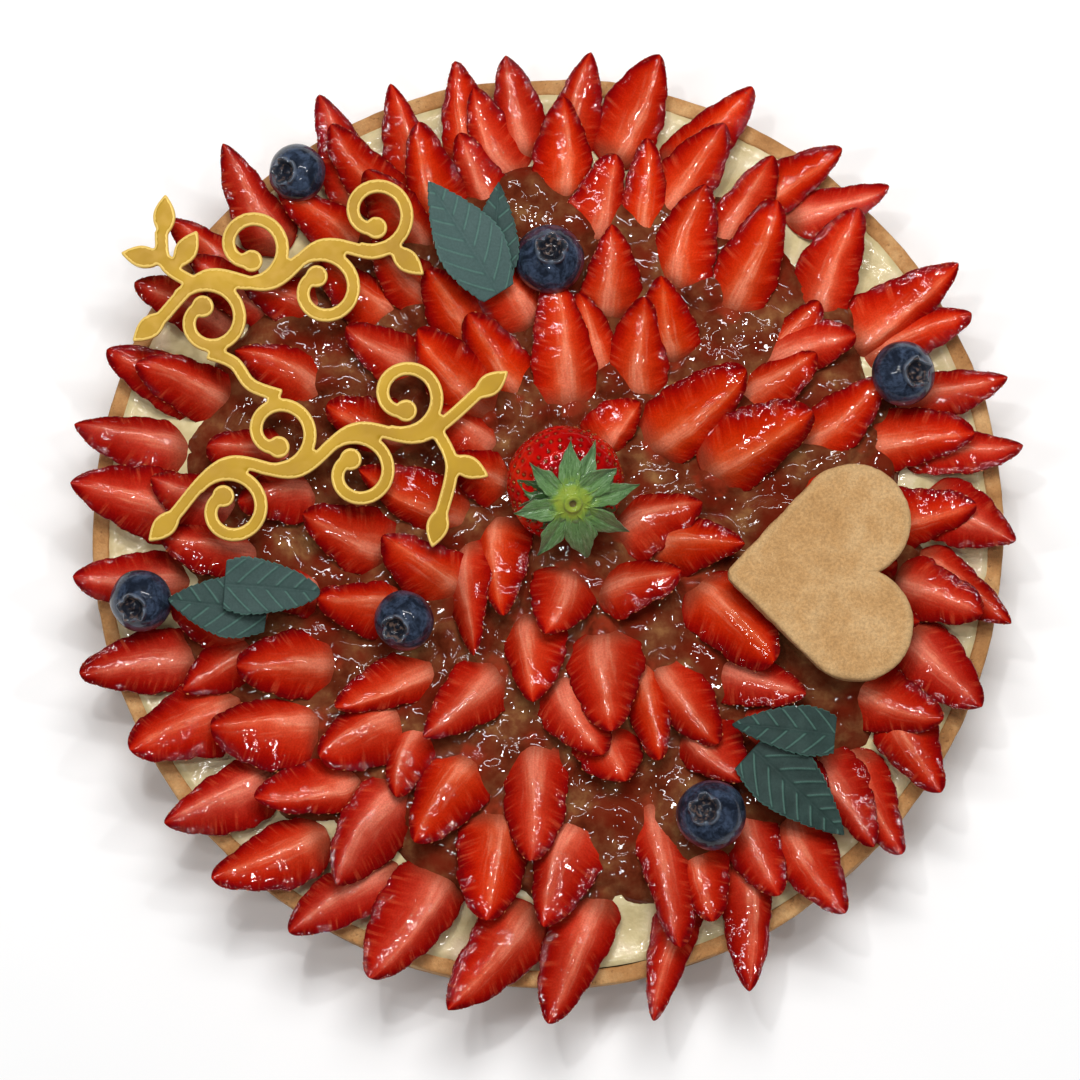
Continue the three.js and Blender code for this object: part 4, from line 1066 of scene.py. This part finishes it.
def sepal_rings(length, width, droop, curl, draw):
    """Rings of points, and what is painted on them: share along and 1 on top; and the grain."""
    bend = draw.uniform(-2.2, 2.2)
    twist = draw.uniform(-0.45, 0.45)
    phase = draw.uniform(0, 6)
    fine_point = 1.3 if width < 7.6 else 0.9

    def from_root(share):
        return SEPAL_ROOT + (length - SEPAL_ROOT) * share

    def half_width(share, side):
        belly = 0.62 + 0.5 * np.exp(-(((share - 0.5) / 0.26) ** 2))
        outline = belly * np.clip(1 - share**4, 0, 1) ** fine_point
        ragged = 1 + 0.08 * np.sin(13 * share + phase + 2 * side) + 0.05 * np.sin(29 * share - phase)
        return width / 2 * outline * ragged

    def height(share, side):
        y = side * half_width(share, side)
        lift = 1.1 - droop * from_root(share) ** 2 + curl * share**3
        lift = lift + 0.3 * np.abs(y) + twist * y * share + 0.35 * np.sin(6 * share + phase) * side**2
        relief = -0.2 * np.exp(-((y / 0.45) ** 2)) + 0.07 * np.sin(16 * side) * (1 - share)
        return lift, relief

    share, side, half, z, top = blade(*SEPAL_BLADE, half_width, height)
    x = from_root(share)
    rings = stacked(x, side * half + bend * share**2.5, z)
    return rings, stacked(share, top, 0), stacked(0.22 * x, side * half, phase * 10)


def make_calyx():
    place = berry_place().raised(BERRY_CROWN + 2 * GAP)
    draw = np.random.default_rng(8)
    sepals = [(azimuth, 0, length, width, SEPAL_DROOP, draw.uniform(*SEPAL_CURL))
              for azimuth, length, width in SEPALS]
    sepals += [(azimuth, 1, *UNDER_SEPAL) for azimuth in UNDER_SEPALS]
    heap = Heap()
    for azimuth, under, *shape in sepals:
        rings, painted, grain = sepal_rings(*shape, draw)
        spin = tipped((0, 0, -UNDER_SEPAL_DROP * under), azimuth, 0)
        points, faces = skinned(rings)
        heap.add(place(spin(points)), faces, place=painted, grain=grain, mood=(draw.uniform(0, 1), under, 0))
    rings = turned(curve_through(CALYX_CORE, 3), 48)
    angle = np.arctan2(rings[..., 1], rings[..., 0])
    ribs = 1 + 0.08 * np.cos(9 * angle) * smooth(rings[..., 2], 2.4, 1.4)
    rings[..., :2] *= ribs[..., None]
    away = np.hypot(rings[..., 0], rings[..., 1])
    painted = stacked(0.3 * smooth(away, 4, 6), 1 + smooth(1.6 - away, 0.3, 0.9), 0)
    points, faces = skinned(rings)
    heap.add(place(points), faces, place=painted, grain=points * 0.5, mood=(0.5, 0, 0))
    heap.piece("calyx", calyx_paint(), "calyx", "strawberry_calyx")


def calyx_paint():
    p = Paint("calyx_green")
    share, top, _, _ = p.painted("place")
    tone, under, _, _ = p.painted("mood")
    mixed = p.math("MULTIPLY_ADD", p.math("SUBTRACT", p.noise(2.5, 3), 0.5), 0.35, share)
    mixed = p.math("MULTIPLY_ADD", tone, 0.12, mixed)
    colour = p.ramp(
        mixed, (0, (140, 156, 44)), (0.2, (116, 146, 48)), (0.36, (88, 126, 66)), (0.8, (84, 120, 72)),
        (1, (66, 98, 50)),
    )
    colour = p.tinted(colour, under, 34, 78, 14)
    streaks = p.noise(0.5, at=p.painted("grain")[-1])
    outwards = p.between(mixed, 0.15, 0.35)
    colour = p.tinted(colour, p.times(p.between(streaks, 0.5, 0.7, 0, 0.5), outwards), 134, 162, 122)
    colour = p.tinted(colour, p.times(p.between(streaks, 0.45, 0.3, 0, 0.5), outwards), 40, 74, 32)
    colour = p.tinted(colour, p.times(p.between(p.cells(0.7), 0.22, 0.1, 0, 0.8), outwards), 30, 40, 24)
    colour = p.tinted(colour, p.between(top, 1.3, 1.8), 84, 70, 24)
    relief = p.math("ADD", streaks, p.noise(0.4, 3))
    return p.finish(colour, 0.5, (relief, 0.16), Sheen_Weight=0.15, Sheen_Roughness=0.5, Coat_Weight=0.3,
                    Coat_Roughness=0.1)


# ---- Blueberries ----
BLUEBERRY_SIDES = 60
BLUEBERRY_SWELL = 0.16
LOBE_HEIGHT = 0.07  # of the crown's five lobes, as a share of the radius
LOBE_SPREAD = 0.14
# The crown's profile, as shares of the radius: over the lobes and down into the hollow.
BLUEBERRY_CROWN = [
    (0.45, 0.9), (0.44, 0.945), (0.4, 0.955), (0.36, 0.93), (0.31, 0.86), (0.27, 0.78), (0.2, 0.73),
    (0.1, 0.72), (0.08, 0.76), (0.05, 0.78), (0.003, 0.78),
]


def make_blueberries():
    paint = blueberry_paint()
    skin = [(math.cos(a), BLUEBERRY_FLATTENING * math.sin(a)) for a in np.radians(np.linspace(-89.5, 62, 34))]
    profile = np.array(skin + BLUEBERRY_CROWN)
    step = np.arange(len(profile))[:, None]
    for number, (at, diameter, azimuth, tilt) in enumerate(BLUEBERRIES, 1):
        radius = diameter / 2
        draw = np.random.default_rng(70 + number)
        rings = turned(profile * radius, BLUEBERRY_SIDES)
        angle = np.arctan2(rings[..., 1], rings[..., 0])
        raised = smooth(rings[..., 2] / radius, 0.84, 0.95) * (step >= len(skin) - 1)
        lobes = np.cos(5 * angle + draw.uniform(0, 6)) + 0.3 * np.cos(10 * angle)
        rings[..., 2] += LOBE_HEIGHT * radius * raised * lobes
        rings[..., :2] *= (1 + LOBE_SPREAD * raised * lobes)[..., None]
        points, faces = skinned(rings)
        points = points + unit(points) * BLUEBERRY_SWELL * ripple(points, 9, 80 + number)[:, None]
        points = tipped(on_tart(at), azimuth, tilt)(points)
        whole_piece(points, faces, f"blueberry_skin_{number}", paint, "blueberry", f"blueberry_{number}",
                    place=stacked(step >= len(skin) + 2, raised, 0))


def blueberry_paint():
    p = Paint("blueberry_skin")
    hollow, raised, _, _ = p.painted("place")
    bloom = p.between(p.noise(5.0, 5, 0.65, distortion=1.0), 0.38, 0.66, 0.12, 0.95)
    bloom = p.times(bloom, p.between(p.noise(0.9, 3), 0.3, 0.6, 0.45, 1))
    colour = p.mix(bloom, rgb(14, 19, 30), rgb(62, 75, 97))
    colour = p.tinted(colour, p.times(raised, 0.75), 112, 122, 136)
    colour = p.tinted(colour, p.times(hollow, 0.8), 20, 20, 26)
    colour = p.tinted(colour, p.times(p.between(p.noise(1.2, 3), 0.5, 0.7, 0, 0.6), hollow), 120, 96, 84)
    return p.finish(colour, 0.42, (p.noise(0.9, 3), 0.12), Specular_IOR_Level=0.1, Coat_Weight=0.7,
                    Coat_Roughness=0.06)


# ---- Heart biscuit ----
HEART_MIDDLE = 4  # the middle of its area lies this far along X
HEART_ARC_POINTS = 84
HEART_SIDE_POINTS = 40
HEART_TIP_POINTS = 26
HEART_UNDER_EDGE = 0.8  # how rounded its lower edge is
HEART_UPPER_EDGE = 1.3
HEART_UNDER_SCALES = (0.004, 0.5, 0.9)
HEART_SIDE_HEIGHTS = (1.6, 2.4, 3.2)
HEART_TOP_SCALES = (0.98, 0.95, 0.91, 0.86, 0.8, 0.72, 0.63, 0.53, 0.43, 0.33, 0.23, 0.13, 0.05, 0.004)
# How pale the rim is, ring by ring: under, lower edge, side, upper edge and top.
HEART_RIM = [0] * 7 + [0.6] * 3 + [0.7, 0.76, 0.82, 0.88, 0.94, 1] + [0.8, 0.5, 0.25, 0.1] + [0] * 10


def heart_outline(inset):
    """Points round the heart, anticlockwise from the notch, moved inwards by the inset."""
    lobe_x, lobe_y = HEART_LOBE
    reach = lobe_x - HEART_POINT
    side_angle = math.atan2(lobe_y, reach) + math.asin(HEART_LOBE_RADIUS / math.hypot(reach, lobe_y))
    side_end = side_angle + math.pi / 2
    radius = HEART_LOBE_RADIUS - inset
    tip_radius = max(0.4, HEART_TIP_RADIUS - inset)
    notch = -math.asin(min(1, lobe_y / radius))
    tip_x = HEART_POINT + HEART_TIP_RADIUS / math.sin(side_angle)

    def arc(x, y, r, start, end, count):
        angle = np.linspace(start, end, count)
        return np.column_stack([x + r * np.cos(angle), y + r * np.sin(angle)])

    upper = arc(lobe_x, lobe_y, radius, notch, side_end, HEART_ARC_POINTS)
    point = arc(tip_x, 0, tip_radius, side_end, 2 * math.pi - side_end, HEART_TIP_POINTS)
    lower = arc(lobe_x, -lobe_y, radius, -side_end, -notch, HEART_ARC_POINTS)
    share = np.linspace(0, 1, HEART_SIDE_POINTS)[1:-1, None]
    return np.vstack([
        upper, upper[-1] + (point[0] - upper[-1]) * share, point,
        point[-1] + (lower[0] - point[-1]) * share, lower[:-1],
    ])


def heart_layers():
    """Height, inset and scale of each ring, from the middle of the underside to the middle of the top."""

    def rounded(edge, count):
        """How far each ring of a rounded edge lies from the edge's two ends."""
        turn = np.linspace(0, math.pi / 2, count)
        return zip(edge * (1 - np.cos(turn)), edge * (1 - np.sin(turn)))

    layers = [(0, HEART_UNDER_EDGE, scale) for scale in HEART_UNDER_SCALES]
    layers += [(rise, inset, 1) for rise, inset in rounded(HEART_UNDER_EDGE, 4)]
    layers += [(z, 0, 1) for z in HEART_SIDE_HEIGHTS]
    layers += [(HEART_THICKNESS - drop, inset, 1) for inset, drop in rounded(HEART_UPPER_EDGE, 7)][1:]
    return layers + [(HEART_THICKNESS, HEART_UPPER_EDGE, scale) for scale in HEART_TOP_SCALES]


def make_heart():
    layers = heart_layers()
    middle = np.array([HEART_MIDDLE, 0])
    rings = np.array([
        stacked(*(middle + (heart_outline(inset) - middle) * scale).T, z) for z, inset, scale in layers
    ])
    points, faces = skinned(rings)
    around = rings.shape[1]
    first, last = len(HEART_UNDER_SCALES), len(layers) - len(HEART_TOP_SCALES)
    edge = np.repeat([first <= number < last for number in range(len(layers))], around)
    crumb = 0.18 * ripple(points, 7, 91) + 0.08 * ripple(points, 1.8, 92)
    outwards = unit((points - (HEART_MIDDLE, 0, HEART_THICKNESS / 2)) * (1, 1, 0) + (1e-6, 0, 0))
    points = points + outwards * (crumb * edge)[:, None]
    points[:, 2] += (0.16 * ripple(points, 13, 93) + 0.06 * ripple(points, 2.4, 94)) * (points[:, 2] > 2)
    points = tipped(on_tart(HEART_CENTRE), HEART_TURN, HEART_TILT)(points)
    whole_piece(points, faces, "heart", biscuit_paint(), "biscuit", "heart_biscuit",
                place=np.repeat(HEART_RIM, around)[:, None])


def biscuit_paint():
    p = Paint("baked_biscuit")
    rim = p.painted("place")[0]
    colour = p.mottled(p.noise(10.0, 5, 0.7), (179, 136, 86), (190, 148, 98), (200, 162, 114), reach=0.15)
    colour = p.tinted(colour, p.between(rim, 0.3, 1.0, 0, 0.4), 194, 160, 114)
    grain = p.noise(0.8, 5, 0.8)
    colour = p.speckled(colour, grain, 0.76, 1.22)
    colour = p.tinted(colour, p.between(p.cells(1.1), 0.14, 0.06, 0, 0.35), 158, 112, 66)
    return p.finish(colour, 0.8, (grain, 0.3), Specular_IOR_Level=0.3)


# ---- Gold ornament ----
VOXEL = 0.42
SCROLL_STEP = 9  # degrees from point to point
SPRAY_STALK = 0.25  # half the width of a small leaf at its ends


def ribbon(points, half_width):
    """A flat strip of the ornament's thickness along a line of points."""
    ahead = np.gradient(points, axis=0)
    across = unit(np.column_stack([-ahead[:, 1], ahead[:, 0]])) * np.reshape(half_width, (-1, 1))
    corners = ((-across, 0), (across, 0), (across, ORNAMENT_THICKNESS), (-across, ORNAMENT_THICKNESS))
    return np.stack([stacked(*(points + offset).T, z) for offset, z in corners], 1)


def scroll_line(start, heading, side):
    line = [np.array(start, float)]
    steps = SCROLL_TURN // SCROLL_STEP
    for i in range(steps):
        radius = SCROLL_RADIUS + (SCROLL_END_RADIUS - SCROLL_RADIUS) * i / steps
        way = heading_vector(heading + side * SCROLL_STEP * (i + 0.5))[:2]
        line.append(line[-1] + way * radius * math.radians(SCROLL_STEP))
    return np.array(line)


def every(items, name, width, kind=float):
    """One property of all the items of a mesh, a row for each."""
    values = np.zeros(len(items) * width, kind)
    items.foreach_get(name, values)
    return values.reshape(-1, width)


def ornament_parts():
    heap = Heap()
    scrolls = [scroll_line(*scroll) for scroll in SCROLLS]
    for line in [curve_through(stem, 12) for stem in STEMS] + scrolls:
        heap.add(*skinned(ribbon(line, STEM_WIDTH / 2)))
    for line in scrolls:
        bead = turned([(BEAD_RADIUS, 0), (BEAD_RADIUS, ORNAMENT_THICKNESS)], 28) + (*line[-1], 0)
        heap.add(*skinned(bead))
    share = np.linspace(0, 1, 22)
    for start, heading in SPRAYS:
        line = np.array(start) + share[:, None] * SPRAY_LENGTH * heading_vector(heading)[:2]
        heap.add(*skinned(ribbon(line, SPRAY_STALK + SPRAY_WIDTH / 2 * np.sin(math.pi * share))))
    return heap.mesh("ornament_parts")


def make_ornament():
    parts = linked(bpy.data.objects.new("ornament_parts", ornament_parts()))
    fuse = parts.modifiers.new("fuse", "REMESH")
    fuse.mode = "VOXEL"
    fuse.voxel_size = VOXEL * MM
    fused = bpy.data.meshes.new_from_object(parts.evaluated_get(bpy.context.evaluated_depsgraph_get()))
    bpy.data.objects.remove(parts)
    place = tipped(on_tart(ORNAMENT_AT), ORNAMENT_TURN, 0)
    points = place(every(fused.vertices, "co", 3) / MM)
    fused.vertices.foreach_set("co", (points * MM).astype(np.float32).ravel())
    edge = 1 - np.abs(every(fused.vertex_normals, "vector", 3)[:, 2:])
    edge_highlight = edge.copy()  # the painted highlight on the rounded edges, a little wider than the edge itself
    one_end, other_end = every(fused.edges, "vertices", 2, int).T
    np.maximum.at(edge_highlight, one_end, 0.9 * edge[other_end])
    np.maximum.at(edge_highlight, other_end, 0.9 * edge[one_end])
    paint_on(fused, "place", np.repeat(edge_highlight, 3, 1))
    fused.name = "gold_scrollwork"
    dressed(fused, "gold_scrollwork", gold_paint(), "gold", "gold_ornament")


def gold_paint():
    p = Paint("polished_gold")
    edge = p.painted("place")[0]
    # The gold is mostly diffuse, so its colour is partly its own and partly a painted reflection: the even
    # brightness that mirror gold takes from its surroundings.
    colour = p.mottled(p.noise(12.0, 3), (152, 114, 8), (163, 125, 12), (175, 137, 20))
    # A painted highlight along the rounded edges, where the mirror gold catches the light.
    colour = p.tinted(colour, p.between(edge, 0.06, 0.22, 0, 0.9), 240, 204, 112)
    rough = p.between(p.noise(3.0, 4), 0.3, 0.7, 0.3, 0.37)
    return p.finish(colour, rough, (p.noise(1.6, 3), 0.003), Metallic=0.15, Specular_IOR_Level=0.24)


# ---- Floor, light and camera ----
FLOOR_SIZE = 6  # metres
CAMERA_TARGET = Vector((0, 0, 22)) * MM
CAMERA_ELEVATION = math.radians(84)
CAMERA_DISTANCE = 1500 * MM
CAMERA_VIEW_ANGLE = math.radians(11.266)
CAMERA_SHIFT = (-8 / 1080, -11 / 1080)
SKY_STRENGTH = 0.22
# Lamps: name, place, length and width, and power. The glaze mirrors all but the first, which is the main
# light; a long lamp makes thin lines.
LAMPS = [
    ("key", (0.06, 0.42, 1.05), (0.5, 0.5), 6.4),
    ("mirrored_0", (0.1, 0.35, 0.95), (0.6, 0.025), 2.0),
    ("mirrored_1", (-0.38, -0.05, 0.9), (0.025, 0.4), 1.4),
    ("mirrored_2", (0.45, 0.05, 0.9), (0.04, 0.04), 0.8),
    ("mirrored_3", (-0.15, 0.2, 0.95), (0.04, 0.04), 1.0),
    ("mirrored_4", (0.1, -0.4, 0.9), (0.04, 0.04), 0.6),
]


def make_floor():
    half = FLOOR_SIZE / 2
    mesh = bpy.data.meshes.new("floor")
    corners = [(-half, -half, 0), (half, -half, 0), (half, half, 0), (-half, half, 0)]
    mesh.from_pydata(corners, [], [(0, 1, 2, 3)])
    p = Paint("pale_floor")
    colour = p.mix(p.noise(60.0), rgb(244, 244, 244), rgb(248, 248, 248))
    mesh.materials.append(p.finish(colour, 0.9))
    floor = linked(bpy.data.objects.new("floor", mesh))


def set_up(name, data, at, back):
    """A lamp or camera at a place, looking the opposite way to back."""
    made = linked(bpy.data.objects.new(name, data))
    made.location = at
    made.rotation_mode = "QUATERNION"
    made.rotation_quaternion = back.to_track_quat("Z", "Y")
    return made


def make_light():
    world = bpy.data.worlds.new("studio")
    world.use_nodes = True
    sky = world.node_tree.nodes["Background"]
    sky.inputs["Color"].default_value = (1, 1, 1, 1)
    sky.inputs["Strength"].default_value = SKY_STRENGTH
    world.cycles_visibility.glossy = False
    bpy.context.scene.world = world
    for name, at, size, power in LAMPS:
        lamp = bpy.data.lights.new(name, "AREA")
        lamp.shape = "RECTANGLE"
        lamp.size, lamp.size_y = size
        lamp.energy = power
        set_up(name, lamp, at, Vector(at) - CAMERA_TARGET).visible_glossy = name != "key"
    bpy.context.scene.view_settings.view_transform = "Standard"


def make_camera():
    data = bpy.data.cameras.new("camera")
    data.sensor_fit = "HORIZONTAL"
    data.angle = CAMERA_VIEW_ANGLE
    data.shift_x, data.shift_y = CAMERA_SHIFT
    back = Vector((0, -math.cos(CAMERA_ELEVATION), math.sin(CAMERA_ELEVATION)))
    bpy.context.scene.camera = set_up("camera", data, CAMERA_TARGET + back * CAMERA_DISTANCE, back)


make_camera()
make_floor()
make_light()
make_case()
make_bed()
make_slices()
make_berry()
make_calyx()
make_blueberries()
make_leaves()
make_heart()
make_ornament()
